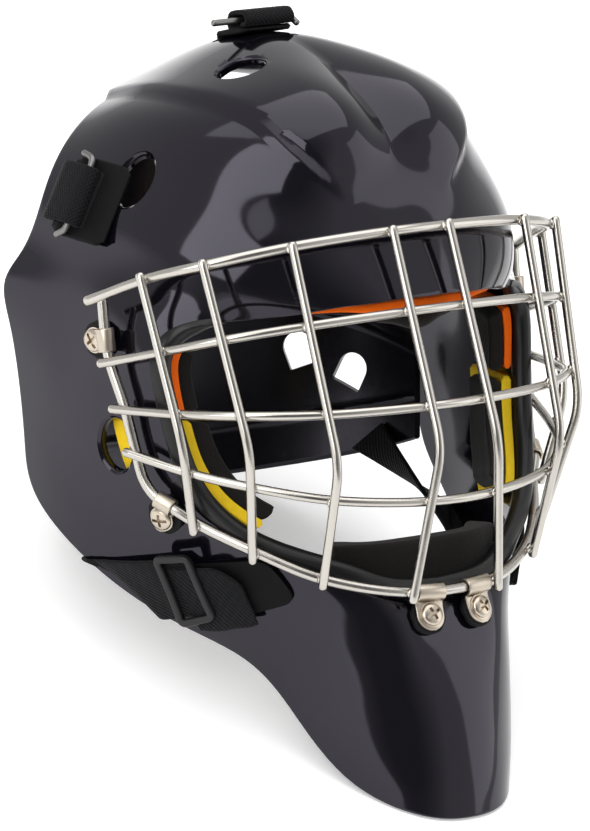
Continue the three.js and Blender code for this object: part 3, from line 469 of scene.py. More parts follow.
SECTIONS = (
    Section(0, (-13, -18, -22, -25, -28, -31, -33, -35, -36, -36),
        (68, 75, 84, 93, 104, 115, 127, 139, 151, 161)),
    Section(8, (-13, -17, -21, -24, -27, -29, -31, -32, -33, -33),
        (68, 75, 84, 93, 104, 115, 127, 139, 150, 161)),
    Section(16, (-12, -17, -20, -22, -22, -21, -19, -16, -12, -5),
        (69.5, 76, 84, 93, 103, 114, 125, 136, 145, 154)),
    Section(24, (-10, -13, -14, -12, -9, -5, 1, 8, 15, 22),
        (70.5, 76, 83, 90, 97, 104, 110, 116, 121, 125)),
    Section(32, (-7, -7, -5, -1, 4, 9, 15, 22, 29, 36),
        (71.5, 77, 83, 88, 94, 99, 104, 108, 112, 115)),
    Section(42, (0, 4, 8, 14, 20, 27, 34, 42, 50, 59),
        (75, 79.5, 84, 89, 95, 101, 106, 110, 114, 117)),
    Section(55, (16, 21, 27, 34, 42, 51, 60, 69, 79, 88),
        (85.5, 88.5, 91, 94, 98, 102, 106, 110, 114, 118)),
    Section(68, (32, 36, 42, 50, 60, 73, 87, 101, 114, 126),
        (90.5, 92.5, 94.5, 97, 100, 103, 106, 109, 111, 111)),
    Section(80, (40, 43, 49, 57, 67, 79, 91, 103, 114, 125),
        (90, 93, 95.5, 98, 100, 102, 104, 105, 106, 106)),
    Section(93, (44, 48, 54, 62, 72, 83, 94, 106, 117, 128),
        (91.6, 94.5, 97, 99, 101, 103, 104, 105, 105, 105)),
    Section(105, (49, 54, 61, 68, 78, 89, 100, 111, 122, 133),
        (99.5, 101, 102.5, 103, 104, 105, 106, 108, 109, 109)),
    Section(113, (43, 47, 53, 61, 72, 85, 98, 111, 124, 138),
        (94, 97, 101, 104, 106, 108, 110, 112, 115, 118)),
    Section(119, (30, 35, 42, 51, 62, 75, 89, 103, 117, 131),
        (81, 88, 95, 100, 104, 108, 111, 113, 115, 117)),
    Section(125, (18, 22, 29, 38, 49, 62, 78, 94, 110, 127),
        (72, 81, 90, 98, 104, 109, 113, 116, 118, 120)),
    Section(131, (10, 14, 20, 28, 39, 52, 69, 88, 107, 125),
        (65, 75, 86, 96, 105, 112, 118, 121, 124, 126)),
    Section(140, (3, 8, 13, 20, 30, 43, 61, 84, 109, 130),
        (59, 70, 81, 92, 102, 112, 120, 125, 128, 129)),
    Section(150, (-2, 4, 9, 15, 23, 34, 55, 82, 111, 134),
        (53, 65, 76, 87, 99, 112, 127, 136, 136, 130)),
    Section(160, (-4, 2, 9, 14, 18, 21, 41, 74, 113, 145),
        (50, 63, 76, 88, 100, 116, 130, 134, 132, 124)),
    Section(170, (-5, 3, 11, 15, 16, 21, 42, 78, 119, 155),
        (48, 65, 80, 93, 106, 121, 132, 138, 135, 122)),
    Section(180, (-5, 4, 13, 15, 19, 29, 48, 84, 124, 162),
        (47, 66, 82, 95, 108, 121, 134, 147.5, 139, 123)),
)


@dataclass(frozen=True)
class LobeStation:
    """The crown lobe at one place from the opening to the rim.

    crease is the lobe's outer edge in degrees from the middle, proud its height over the shell
    and valley how low its middle is: 0 at the lobe's height, 1 level with the shell, more below it.
    """

    across: float
    crease: float
    proud: float
    valley: float


LOBE = (
    LobeStation(across=0.3, crease=16.5, proud=0.0, valley=1.0),
    LobeStation(across=0.4, crease=18.5, proud=1.6, valley=1.2),
    LobeStation(across=0.48, crease=20.5, proud=3.2, valley=1.5),
    LobeStation(across=0.56, crease=22.0, proud=4.2, valley=1.8),
    LobeStation(across=0.64, crease=22.6, proud=4.3, valley=1.9),
    LobeStation(across=0.72, crease=23.6, proud=3.9, valley=1.6),
    LobeStation(across=0.8, crease=24.5, proud=3.6, valley=0.6),
    LobeStation(across=0.88, crease=24.5, proud=3.2, valley=0.0),
    LobeStation(across=1.0, crease=23.5, proud=2.6, valley=0.0),
)
LOBE_EDGE = 1.3  # half the width of the crease's turn, in degrees
LOBE_CREST = 0.55  # where a lobe is at its full height, as a share of the crease


class ShellSurface:
    """The outer face of the shell, by its angle round the face axis and its place across."""

    last_section = len(SECTIONS) - 1
    last_station = len(SECTIONS[0].y) - 1

    HALVINGS = 40  # times the search for a section is halved
    LOBES_TO = 40.0  # degrees from the crown's middle, past the outer edge of both lobes
    TURN = 0.5  # half the angle between the places that a normal is taken from, in degrees
    SLIDE = 0.004  # half the way across between them

    @staticmethod
    def from_chin(angle: float) -> float:
        """The same angle from the chin, between -180 and 180 degrees."""
        return (angle + 540) % 360 - 180

    @staticmethod
    def weights(t: float) -> tuple[float, float, float, float]:
        """Weights of the four controls round a place on a uniform cubic B-spline."""
        s = 1 - t
        return s**3 / 6, (3 * t**3 - 6 * t**2 + 4) / 6, (3 * s**3 - 6 * s**2 + 4) / 6, t**3 / 6

    @classmethod
    def control(cls, section: int, station: int) -> tuple[float, float, float]:
        """One control of the net, mirrored at the chin and at the crown.

        Args:
            section: number of the section, which may lie one past either end.
            station: number of the station, which may lie past either end.

        Returns:
            Its angle, y and r.
        """
        row, turn, full = section, 1, 0
        if section < 0:
            row, turn = -section, -1
        if section > cls.last_section:
            row, turn, full = 2 * cls.last_section - section, -1, 360
        data = SECTIONS[row]

        def pick(stations: tuple[float, ...]) -> float:
            """The station's value, or the line's value past its ends."""
            if station < 0:
                return 2 * stations[0] - stations[1]
            if station > cls.last_station:
                return 2 * stations[-1] - stations[-2]
            return stations[station]

        return full + turn * data.at, pick(data.y), pick(data.r)

    @classmethod
    @lru_cache(maxsize=None)
    def section_at(cls, angle: float) -> float:
        """Finds the place among the sections at an angle.

        Args:
            angle: degrees from the chin.

        Returns:
            The section's number, which is rarely whole.
        """
        around = abs(cls.from_chin(angle))
        low, high = 0.0, float(cls.last_section)
        for _ in range(cls.HALVINGS):
            middle = (low + high) / 2
            cell = min(math.floor(middle), cls.last_section - 1)
            weights = cls.weights(middle - cell)
            here = sum(w * cls.control(cell - 1 + k, 0)[0] for k, w in enumerate(weights))
            if here < around:
                low = middle
            else:
                high = middle
        return (low + high) / 2

    @classmethod
    @lru_cache(maxsize=None)
    def profile(cls, angle: float) -> tuple[tuple[float, float], ...]:
        """The section curve at an angle.

        Args:
            angle: degrees from the chin.

        Returns:
            Its controls, y and r of each, from station -1 onwards.
        """
        along = cls.section_at(angle)
        cell = min(math.floor(along), cls.last_section - 1)
        weights = cls.weights(along - cell)
        rows = []
        for station in range(-1, cls.last_station + 3):
            controls = [cls.control(cell - 1 + k, station) for k in range(4)]
            rows.append(tuple(sum(w * c[axis] for w, c in zip(weights, controls)) for axis in (1, 2)))
        return tuple(rows)

    @classmethod
    def plain(cls, angle: float, across: float) -> Vector:
        """A place of the shell without its lobes.

        Args:
            angle: degrees from the chin, negative on the right.
            across: 0 at the face opening to 1 at the rim.

        Returns:
            The place in the wearing frame.
        """
        angle = cls.from_chin(angle)
        rows = cls.profile(round(angle, 4))
        place = across * cls.last_station
        start = max(0, min(math.floor(place), cls.last_station - 1))
        weights = cls.weights(place - start)
        y = sum(w * rows[start + k][0] for k, w in enumerate(weights))
        r = sum(w * rows[start + k][1] for k, w in enumerate(weights))
        turn = math.radians(angle)
        return Vector((r * math.sin(turn), y, AXIS_Z - r * math.cos(turn)))

    @classmethod
    def relief(cls, angle: float, across: float) -> float:
        """How far the crown lobes stand over the plain shell.

        Args:
            angle: degrees from the chin, negative on the right.
            across: 0 at the face opening to 1 at the rim.

        Returns:
            The height in millimetres, negative where the valley is sunk.
        """
        from_middle = 180 - abs(cls.from_chin(angle))
        if from_middle > cls.LOBES_TO or across < LOBE[0].across:
            return 0.0
        crease = through([(station.across, station.crease) for station in LOBE], across)
        proud = through([(station.across, station.proud) for station in LOBE], across)
        valley = through([(station.across, station.valley) for station in LOBE], across)
        inside = 1 - smooth((from_middle - crease + LOBE_EDGE) / (2 * LOBE_EDGE))
        climb = math.sin(math.pi / 2 * min(1.0, from_middle / (LOBE_CREST * crease)))
        return proud * inside * mix(1.0, climb, valley)

    @classmethod
    def plain_normal(cls, angle: float, across: float) -> Vector:
        """The outward normal of the shell without its lobes.

        Args:
            angle: degrees from the chin, negative on the right.
            across: 0 at the face opening to 1 at the rim.

        Returns:
            The normal in the wearing frame, of length 1.
        """
        place = min(max(across, cls.SLIDE), 1 - cls.SLIDE)
        round_ = cls.plain(angle + cls.TURN, across) - cls.plain(angle - cls.TURN, across)
        back = cls.plain(angle, place + cls.SLIDE) - cls.plain(angle, place - cls.SLIDE)
        return back.cross(round_).normalized()

    @classmethod
    def point(cls, angle: float, across: float) -> Vector:
        """A place of the outer face.

        Args:
            angle: degrees from the chin, negative on the right.
            across: 0 at the face opening to 1 at the rim.

        Returns:
            The place in the wearing frame.
        """
        lift = cls.relief(angle, across)
        if lift == 0.0:
            return cls.plain(angle, across)
        return cls.plain(angle, across) + cls.plain_normal(angle, across) * lift

    @classmethod
    def offset(cls, angle: float, across: float, lift: float) -> Vector:
        """A place a distance outside the shell's outer face, or inside it where negative.

        Args:
            angle: degrees from the chin, negative on the right.
            across: 0 at the face opening to 1 at the rim.
            lift: the distance in millimetres.

        Returns:
            The place in the wearing frame.
        """
        return cls.point(angle, across) + cls.plain_normal(angle, across) * lift

    @classmethod
    def axes(cls, angle: float, across: float) -> Matrix:
        """Local axes at a place of the outer face.

        Args:
            angle: degrees from the chin, negative on the right.
            across: 0 at the face opening to 1 at the rim.

        Returns:
            The axes: x round the shell, y towards the rim and z out of the shell.
        """
        out = cls.plain_normal(angle, across)
        back = cls.plain(angle, across + 0.01) - cls.plain(angle, across - 0.01)
        back = (back - out * back.dot(out)).normalized()
        along = back.cross(out).normalized()
        spot = cls.point(angle, across)
        rows = [(along[k], back[k], out[k], spot[k]) for k in range(3)]
        return Matrix((*rows, (0, 0, 0, 1)))


# ---- the shell ------------------------------------------------------------------------------
@dataclass(frozen=True)
class Oval:
    """An opening in the shell: its place, its two widths in millimetres and its turn."""

    angle: float
    across: float
    along: float
    over: float
    turn: float = 0.0
    square: bool = False


@dataclass
class Shell:
    """The moulded shell with its vents, ear holes and strap slots."""

    around: int = 336
    across: int = 92
    rim_round: float = 1.3
    ovals: tuple[Oval, ...] = (
        Oval(angle=166, across=0.765, along=20, over=17, turn=40),
        Oval(angle=138, across=0.755, along=23, over=17),
        Oval(angle=82.5, across=0.47, along=22, over=17, turn=8),
        Oval(angle=132, across=0.8, along=30, over=6, square=True),
    )
    crown_slot: Oval = Oval(angle=180, across=0.872, along=30, over=6, square=True)

    FLARE = ((9.0, 1.5), (0.4, 1.5), (0.02, 1.3), (-0.45, 0.55), (-1.1, 0.12), (-1.9, 0.0), (-12.0, 0.0))
    CURVE = 120.0  # radius of the shell's outer face round an opening, about
    FACETS = 64  # round an oval opening
    UV_SIZE = (0.7, 0.15)  # length and width in metres that the finish is laid over
    SHARPEST = math.radians(55)  # edges that turn by more than this are rounded
    INSIDE = Vector((0, 60, AXIS_Z))  # a place in the hollow

    def cutter(self, oval: Oval, sign: int) -> Body:
        """A plug that follows the shell and flares at its outer face, to leave a soft edge.

        Args:
            oval: the opening.
            sign: 1 on the left, -1 on the right.

        Returns:
            The plug.
        """
        axes = ShellSurface.axes(sign * oval.angle, oval.across)
        last = len(self.FLARE) - 1
        turn = math.radians(sign * oval.turn)

        def place(u: float, x: float, y: float) -> Vector:
            """A place on the plug's side: the outline grown by the level's flare.

            Args:
                u: part 0 to 1 of the plug, from the outside inwards.
                x: the outline's place along the opening.
                y: the outline's place over it.

            Returns:
                The place in the row frame.
            """
            lift, flare = self.FLARE[round(u * last)]
            spot = Vector((x, y, 0.0))
            spot += spot.normalized() * flare
            spot.rotate(Matrix.Rotation(turn, 3, "Z"))
            face = axes @ spot
            sag = 0.5 * (spot.x**2 + spot.y**2) / self.CURVE
            return rest(face + axes.col[2].to_3d() * (lift - sag))

        if oval.square:
            outline = rounded_section(oval.along, oval.over, oval.over / 2, 8)
        else:
            turns = [2 * math.pi * k / self.FACETS for k in range(self.FACETS)]
            outline = [
                Vector((math.cos(turn_) * oval.along / 2, math.sin(turn_) * oval.over / 2)) for turn_ in turns
            ]
        return carried(outline, last, place)

    def build(self) -> bpy.types.Object:
        """Makes the shell's outer face, gives it its wall and cuts its openings.

        Returns:
            The shell.
        """
        bm = sheet_grid(
            self.around,
            self.across,
            lambda u, v: rest(ShellSurface.point(360 * u - 180, v)),
            self.UV_SIZE,
        )
        bmesh.ops.remove_doubles(bm, verts=bm.verts[:], dist=1e-6)
        bm.faces.ensure_lookup_table()
        probe = bm.faces[0]
        if probe.normal.dot(probe.calc_center_median() - rest(self.INSIDE)) < 0:
            bmesh.ops.reverse_faces(bm, faces=bm.faces[:])
        piece = finished("shell_moulding", bm)
        wall = piece.modifiers.new("wall", "SOLIDIFY")
        wall.thickness = SHELL_WALL * MM
        wall.offset = -1.0
        rims = piece.modifiers.new("rims", "BEVEL")
        rims.width = self.rim_round * MM
        rims.segments = 3
        rims.limit_method = "ANGLE"
        rims.angle_limit = self.SHARPEST
        bake(piece)
        for vert in piece.data.vertices:
            vert.co.z = max(vert.co.z, 0.0)
        plugs = [self.cutter(oval, sign) for oval in self.ovals for _, sign in SIDES]
        plugs.append(self.cutter(self.crown_slot, 1))
        cut(piece, plugs)
        return piece


# ---- the rubber welt ------------------------------------------------------------------------
@dataclass
class Welt:
    """The U-shaped rubber welt pressed over the edge of the face opening."""

    reach: float = 118.0
    lip: float = 1.9
    grip: float = 5.0
    nose: float = 3.3
    rings: int = 260
    length: float = 0.55
    end_thin: float = 0.25
    end_taper: float = 6.0

    def section(self) -> list[Vector]:
        """The welt's outline: x away from the shell's edge, y out of the shell.

        Returns:
            The outline's places: the groove that the shell fits in, the inner lip, the nose and
            the outer lip.
        """
        low, high = -SHELL_WALL - self.lip, self.lip
        outer_lip = (
            (-self.grip, high * 0.3), (-self.grip + 0.5, high * 0.85), (-self.grip + 1.4, high),
            (-1.2, high + 0.15), (0.6, high), (1.9, high * 0.55),
        )
        nose = ((self.nose - 0.5, -0.35), (self.nose, -2.0), (self.nose - 0.5, -3.6))
        inner_lip = (
            (1.9, low + 0.9), (0.6, low), (-self.grip + 1.4, low),
            (-self.grip + 0.5, low * 0.97), (-self.grip, low * 0.86),
        )
        groove = (
            (-self.grip, -SHELL_WALL - 0.1), (-0.4, -SHELL_WALL - 0.1), (-0.4, 0.1), (-self.grip, 0.1),
        )
        return [Vector(spot) for spot in (*outer_lip, *nose, *inner_lip, *groove)][::-1]

    def build(self) -> bpy.types.Object:
        """Carries the section round the opening's edge.

        Returns:
            The welt.
        """

        def place(u: float, x: float, y: float) -> Vector:
            """A place on the welt, which is thinner over the last few degrees at each end.

            Args:
                u: part 0 to 1 of the welt, from the wearer's right.
                x: its place away from the shell's edge.
                y: its place out of the shell.

            Returns:
                The place in the row frame.
            """
            angle = mix(-self.reach, self.reach, u)
            ends = min(1.0, self.end_thin + (self.reach - abs(angle)) / self.end_taper)
            edge = ShellSurface.point(angle, 0.0)
            out = ShellSurface.plain_normal(angle, 0.0)
            away = (edge - ShellSurface.point(angle, 0.05)).normalized()
            x = x * ends if x > 0 else x
            y = y * ends if y > 0 else -SHELL_WALL + (y + SHELL_WALL) * ends if y < -SHELL_WALL else y
            return rest(edge + away * x + out * y)

        bm = carried(self.section(), self.rings, place, self.length)
        return finished("opening_welt_rubber", bm, SHARP_RUBBER)


# ---- the cage -------------------------------------------------------------------------------
@dataclass(frozen=True)
class Upright:
    """An upright wire of one half, and the direction that faces away from the head there."""

    top: tuple[float, float, float]
    bend: tuple[float, float, float]
    foot: tuple[float, float, float]
    out: tuple[float, float]

    def at(self, z: float, inset: float) -> Vector:
        """The wire's place at a height.

        Args:
            z: the height in the wearing frame.
            inset: how far the place is moved towards the head, in millimetres.

        Returns:
            The place in the wearing frame.
        """
        high, low = (self.top, self.bend) if z > self.bend[2] else (self.bend, self.foot)
        t = (high[2] - z) / (high[2] - low[2])
        x, y = (mix(high[axis], low[axis], t) - self.out[axis] * inset for axis in (0, 1))
        return Vector((x, y, z))


@dataclass(frozen=True)
class Level:
    """A level wire: its radius, its height at each upright and its end past the side frame."""

    radius: float
    z: tuple[float, ...]
    end: tuple[float, float, float]


@dataclass
class Cage:
    """The welded wire cage: a frame round the opening, level wires and upright wires."""

    frame_wire: float = 2.2
    cross_wire: float = 1.9
    bite: float = 0.5
    weld_size: float = 2.35
    weld_height: float = 1.7
    weld_gap: float = 6.0
    bow: float = 9.0
    uprights: tuple[Upright, ...] = (
        Upright((14.4, -0.4, 0.6), (14.7, -32.3, -84.4), (22, -23.5, -146.5), (0.1, -0.99)),
        Upright((59.7, 6.6, -2.6), (57.4, -20.6, -88.6), (54.3, -6.4, -139.5), (0.4, -0.92)),
        Upright((91, 24.4, -8.8), (85.2, 1.2, -82.6), (75, 12.5, -129.5), (0.82, -0.57)),
        Upright((103.5, 48.8, -16), (99, 26.8, -82.8), (90, 31.6, -119), (0.97, -0.22)),
    )
    levels: tuple[Level, ...] = (
        Level(2.2, (-1.2, -4.1, -10.5, -17.8), (110, 74.9, -28.9)),
        Level(1.9, (-32.1, -34.6, -39.5, -46), (109.5, 67.3, -53.4)),
        Level(1.9, (-68.4, -68.9, -69.1, -70.4), (107.5, 62.5, -71.3)),
        Level(1.9, (-106.3, -103.2, -98.4, -94.4), (105, 56.6, -88.3)),
    )
    frame_feet: tuple[float, ...] = (-143.7, -136.8, -126.4, -116.6)
    frame_side: tuple[tuple[float, float, float], ...] = (
        (93.6, 39.8, -110.3),
        (97.6, 47, -105.6),
        (100, 51.4, -99),
        (101.6, 54.4, -87.7),
        (104, 58.6, -70.2),
        (106, 66.6, -50.1),
        (106.6, 70, -27.5),
    )

    FRAME_SIDES = 22
    WIRE_SIDES = 20
    LEVEL_RINGS = 150
    UPRIGHT_RINGS = 60
    BEND_STEPS = 10

    def inset(self, radius: float) -> float:
        """How far behind the uprights a crossing wire of this radius lies."""
        return self.cross_wire + radius - self.bite

    def mirrored(self, half: Sequence[Vector], count: int) -> list[Vector]:
        """A whole symmetrical wire from the places of its left half, middle place first."""
        right = [Vector((-p.x, p.y, p.z)) for p in half][::-1]
        return catmull([*right, *half], count)

    def frame_line(self, count: int = 260) -> list[Vector]:
        """The frame wire's middle line, from its upper right end round the chin."""
        inset = self.inset(self.frame_wire) + self.cross_wire * 0.4
        feet = [wire.at(z, inset) for wire, z in zip(self.uprights, self.frame_feet)]
        return self.mirrored([*feet, *(Vector(p) for p in self.frame_side)], count)

    def level_line(self, level: Level) -> list[Vector]:
        """A level wire's middle line."""
        half = [wire.at(z, self.inset(level.radius)) for wire, z in zip(self.uprights, level.z)]
        return self.mirrored([*half, Vector(level.end)], self.LEVEL_RINGS)

    def upright_line(self, wire: Upright, sign: int) -> list[Vector]:
        """An upright wire's middle line: two straights joined by a round bend.

        Args:
            wire: the wire.
            sign: 1 on the left, -1 on the right.

        Returns:
            The line's places.
        """
        top, bend, foot = (Vector((sign * p[0], p[1], p[2])) for p in (wire.top, wire.bend, wire.foot))
        before = bend + (top - bend).normalized() * self.bow
        after = bend + (foot - bend).normalized() * self.bow
        steps = [k / self.BEND_STEPS for k in range(self.BEND_STEPS + 1)]
        curve = [before.lerp(bend, t).lerp(bend.lerp(after, t), t) for t in steps]
        return spaced([top, *curve, foot], self.UPRIGHT_RINGS)

    def weld(self, a: Sequence[Vector], b: Sequence[Vector]) -> Body | None:
        """A small fillet of weld where two wires cross.

        Args:
            a: middle line of the first wire.
            b: middle line of the second wire.

        Returns:
            The fillet, or None where the wires don't meet.
        """
        gap, p, q, k = min(
            ((p - q).length, tuple(p), tuple(q), k) for k, p in enumerate(a[1:-1], 1) for q in b
        )
        if gap > self.weld_gap:
            return None
        middle = (Vector(p) + Vector(q)) / 2
        along = (a[k + 1] - a[k - 1]).normalized()
        out = (Vector(p) - Vector(q)).normalized()
        cross = out.cross(along).normalized()
        bm = bmesh.new()
        bmesh.ops.create_uvsphere(bm, u_segments=20, v_segments=12, radius=1.0)
        for vert in bm.verts:
            x, y, z = vert.co
            flat = along * x * self.weld_size + cross * y * self.weld_size
            vert.co = rest(middle + flat + out * z * self.weld_height)
        return bm

    def build(self) -> bpy.types.Object:
        """Makes every wire and the welds between them.

        Returns:
            The cage.
        """
        frame_line = self.frame_line()
        parts = [tube(frame_line, self.frame_wire, self.FRAME_SIDES)]
        level_lines = [self.level_line(level) for level in self.levels]
        for level, line in zip(self.levels, level_lines):
            parts.append(tube(line, level.radius, self.WIRE_SIDES))
        for wire in self.uprights:
            for _, sign in SIDES:
                line = self.upright_line(wire, sign)
                parts.append(tube(line, self.cross_wire, self.WIRE_SIDES))
                fillets = (self.weld(line, other) for other in (*level_lines, frame_line))
                parts.extend(fillet for fillet in fillets if fillet)
        return finished("wire_cage", joined(parts), SHARP_WIRE)


# ---- clips, screws and rubber pads ----------------------------------------------------------
@dataclass(frozen=True)
class ClipSeat:
    """Where a clip stands: its axes, and the wire's distance and height from the screw."""

    axes: Matrix
    reach: float
    rise: float


@dataclass
class Clip:
    """One bent J clip with its screw and the rubber pad under it."""

    name: str
    held: float
    width: float
    sheet: float = 1.2
    tail: float = 6.4
    distance: float = 9.2
    wire_clear: float = 0.3
    pad_round: float = 7.6
    pad_thick: float = 2.6
    foot: float = 3.2
    head: float = 4.7

    FIRST_STEP = 6.0  # of the search for a place on the shell, in degrees
    LAST_STEP = 0.02
    DEGREES_ACROSS = 90.0  # degrees that are about as long as the way from opening to rim
    SHEET_RINGS = 64
    HOOK = range(180, -125, -12)  # degrees round the wire that the hook takes
    NARROWEST = math.sqrt(0.05)  # of the round tail, as a share of the clip's width
    STEM = 2.1  # radius of the screw's stem
    STEM_FOOT = -4.0  # height of its end over the shell's outer face
    SLOTS = ((1.5, 0.5), (1.15, 0.5 + math.pi / 2))  # length in head radii, and turn
    SLOT_WIDE = 1.3
    SLOT_TALL = 3.2

    def nearest(self, target: Vector, angle: float, across: float) -> tuple[float, float]:
        """Searches for the place of the shell that lies nearest to a point.

        Args:
            target: the point, in the wearing frame.
            angle: where the search starts, in degrees from the chin.
            across: where it starts, 0 at the face opening to 1 at the rim.

        Returns:
            The angle and the place across of the nearest place.
        """
        best = (ShellSurface.plain(angle, across) - target).length
        step = self.FIRST_STEP
        while step > self.LAST_STEP:
            moved = False
            slide_step = step / self.DEGREES_ACROSS
            for turn, slide in ((step, 0), (-step, 0), (0, slide_step), (0, -slide_step)):
                a, b = angle + turn, min(max(across + slide, 0.0), 1.0)
                gap = (ShellSurface.plain(a, b) - target).length
                if gap < best - 1e-6:
                    angle, across, best, moved = a, b, gap, True
            if not moved:
                step /= 2
        return angle, across

    def seat(self, line: Sequence[Vector], sign: int) -> ClipSeat:
        """Works out where the clip stands.

        Args:
            line: the frame wire's middle line.
            sign: 1 on the left, -1 on the right.

        Returns:
            The clip's seat.
        """
        k = round((0.5 + sign * self.held / 2) * (len(line) - 1))
        wire = line[k]
        along = (line[k + 1] - line[k - 1]).normalized()
        polar = math.degrees(math.atan2(wire.x, AXIS_Z - wire.z))
        angle, across = self.nearest(wire, polar, 0.2)
        away = along.cross(ShellSurface.plain_normal(angle, across)).normalized()
        if away.dot(ShellSurface.plain(angle, across + 0.05) - wire) < 0:
            away.negate()
        angle, across = self.nearest(wire + away * self.distance, angle, across)
        seat = ShellSurface.plain(angle, across)
        out = ShellSurface.plain_normal(angle, across)
        out = (out - along * out.dot(along)).normalized()
        towards = out.cross(along).normalized()
        if (wire - seat).dot(towards) < 0:
            towards, along = -towards, -along
        rows = [(along[i], towards[i], out[i], seat[i]) for i in range(3)]
        gap = wire - seat
        return ClipSeat(Matrix((*rows, (0, 0, 0, 1))), gap.dot(towards), gap.dot(out))

    def sheet_line(self, seat: ClipSeat, wire: float) -> list[Vector]:
        """The bent sheet's middle line.

        Args:
            seat: where the clip stands.
            wire: the held wire's radius.

        Returns:
            The line's places: the seat's y and z, and 0.
        """
        round_ = wire + self.wire_clear + self.sheet / 2
        flat = self.foot + self.sheet / 2
        near = seat.reach - round_
        line = [(-self.tail, flat), (near - 2.5, flat), (near - 0.8, flat + 0.3), (near, flat + 1.4)]
        for turn in self.HOOK:
            place = math.radians(turn)
            line.append((seat.reach + round_ * math.cos(place), seat.rise + round_ * math.sin(place)))
        return spaced([Vector((y, z, 0)) for y, z in line], self.SHEET_RINGS)

    def clip_body(self, seat: ClipSeat, wire: float) -> Body:
        """The J: a flat bar carried along the bent line.

        Args:
            seat: where the clip stands.
            wire: the held wire's radius.

        Returns:
            The clip.
        """
        line = self.sheet_line(seat, wire)
        last = len(line) - 1

        def place(u: float, x: float, y: float) -> Vector:
            """A place on the bent sheet, which has a round tail and a slightly narrower hook.

            Args:
                u: part 0 to 1 of the sheet, from its tail.
                x: its place over its width.
                y: its place through its thickness.

            Returns:
                The place in the row frame.
            """
            k = round(u * last)
            run = (line[min(k + 1, last)] - line[max(k - 1, 0)]).normalized()
            spot = line[k] + Vector((-run.y, run.x, 0)) * y
            from_tail = (line[k] - line[0]).length / (self.width / 2)
            tail = max(self.NARROWEST, rounding(from_tail))
            ends = min(1.0, 0.72 + (last - k) * 0.09) * tail
            return rest(seat.axes @ Vector((x * ends, spot.x, spot.y)))

        section = rounded_section(self.width, self.sheet, 0.42, 3)
        return carried(section, last, place, 0.04)

    def screw_body(self, seat: ClipSeat) -> Body:
        """The stem and the pan head with a washer face under it, turned about the screw's axis.

        Args:
            seat: where the clip stands.

        Returns:
            The screw, without its slots.
        """
        base = self.foot + self.sheet
        r = self.head
        stem = ((0.0, self.STEM_FOOT), (self.STEM, self.STEM_FOOT), (self.STEM, base))
        washer = ((r * 1.12, base), (r * 1.12, base + 0.5), (r, base + 0.55))
        dome = (
            (r, base + 1.1), (r * 0.96, base + 1.55), (r * 0.86, base + 1.95),
            (r * 0.68, base + 2.3), (r * 0.4, base + 2.5), (0.0, base + 2.58),
        )
        profile = (*stem, *washer, *dome)
        bm = bmesh.new()
        verts = [bm.verts.new((x, 0, z)) for x, z in profile]
        edges = [bm.edges.new(pair) for pair in zip(verts, verts[1:])]
        bmesh.ops.spin(
            bm, geom=[*verts, *edges], cent=(0, 0, 0), axis=(0, 0, 1), dvec=(0, 0, 0),
            angle=2 * math.pi, steps=36, use_merge=True, use_duplicate=False,
        )
        bmesh.ops.remove_doubles(bm, verts=bm.verts[:], dist=1e-4)
        bmesh.ops.recalc_face_normals(bm, faces=bm.faces[:])
        for vert in bm.verts:
            vert.co = rest(seat.axes @ vert.co)
        return bm

    def drive_cutters(self, seat: ClipSeat) -> list[Body]:
        """The two crossed slots of the screw's drive, one longer than the other.

        Args:
            seat: where the clip stands.

        Returns:
            The body that cuts each slot.
        """
        top = self.foot + self.sheet + 2.6
        cutters = []
        for share, turn in self.SLOTS:
            bm = bmesh.new()
            bmesh.ops.create_cube(bm, size=1.0)
            bmesh.ops.scale(bm, vec=(self.head * share, self.SLOT_WIDE, self.SLOT_TALL), verts=bm.verts)
            bmesh.ops.rotate(bm, cent=(0, 0, 0), matrix=Matrix.Rotation(turn, 3, "Z"), verts=bm.verts)
            for vert in bm.verts:
                vert.co = rest(seat.axes @ (vert.co + Vector((0, 0, top - 0.2))))
            cutters.append(bm)
        return cutters

    def pad_body(self, seat: ClipSeat) -> Body:
        """The squeezed rubber pad: a thick disc that bulges unevenly past the clip.

        Args:
            seat: where the clip stands.

        Returns:
            The pad.
        """
        bm = bmesh.new()
        bmesh.ops.create_cone(
            bm, cap_ends=True, segments=48,
            radius1=self.pad_round, radius2=self.pad_round, depth=self.pad_thick,
        )
        rims = [edge for edge in bm.edges if len(edge.link_faces) == 2 and edge.calc_face_angle() > 1]
        bmesh.ops.bevel(
            bm, geom=rims, offset=0.7, offset_type="OFFSET",
            segments=3, profile=0.5, affect="EDGES", material=-1,
        )
        middle = self.foot - self.pad_thick / 2 - 0.1
        for vert in bm.verts:
            spot = vert.co.copy()
            swell = 1 + 0.07 * noise.noise(Vector((spot.x, spot.y, 3.0)) * 0.28)
            lump = 0.35 * noise.noise(spot * 0.9)
            reach = min(1.0, math.hypot(spot.x, spot.y) / self.pad_round)
            spot = Vector((spot.x * swell * 1.02, spot.y * swell, spot.z + lump * reach + middle))
            vert.co = rest(seat.axes @ spot)
        return bm


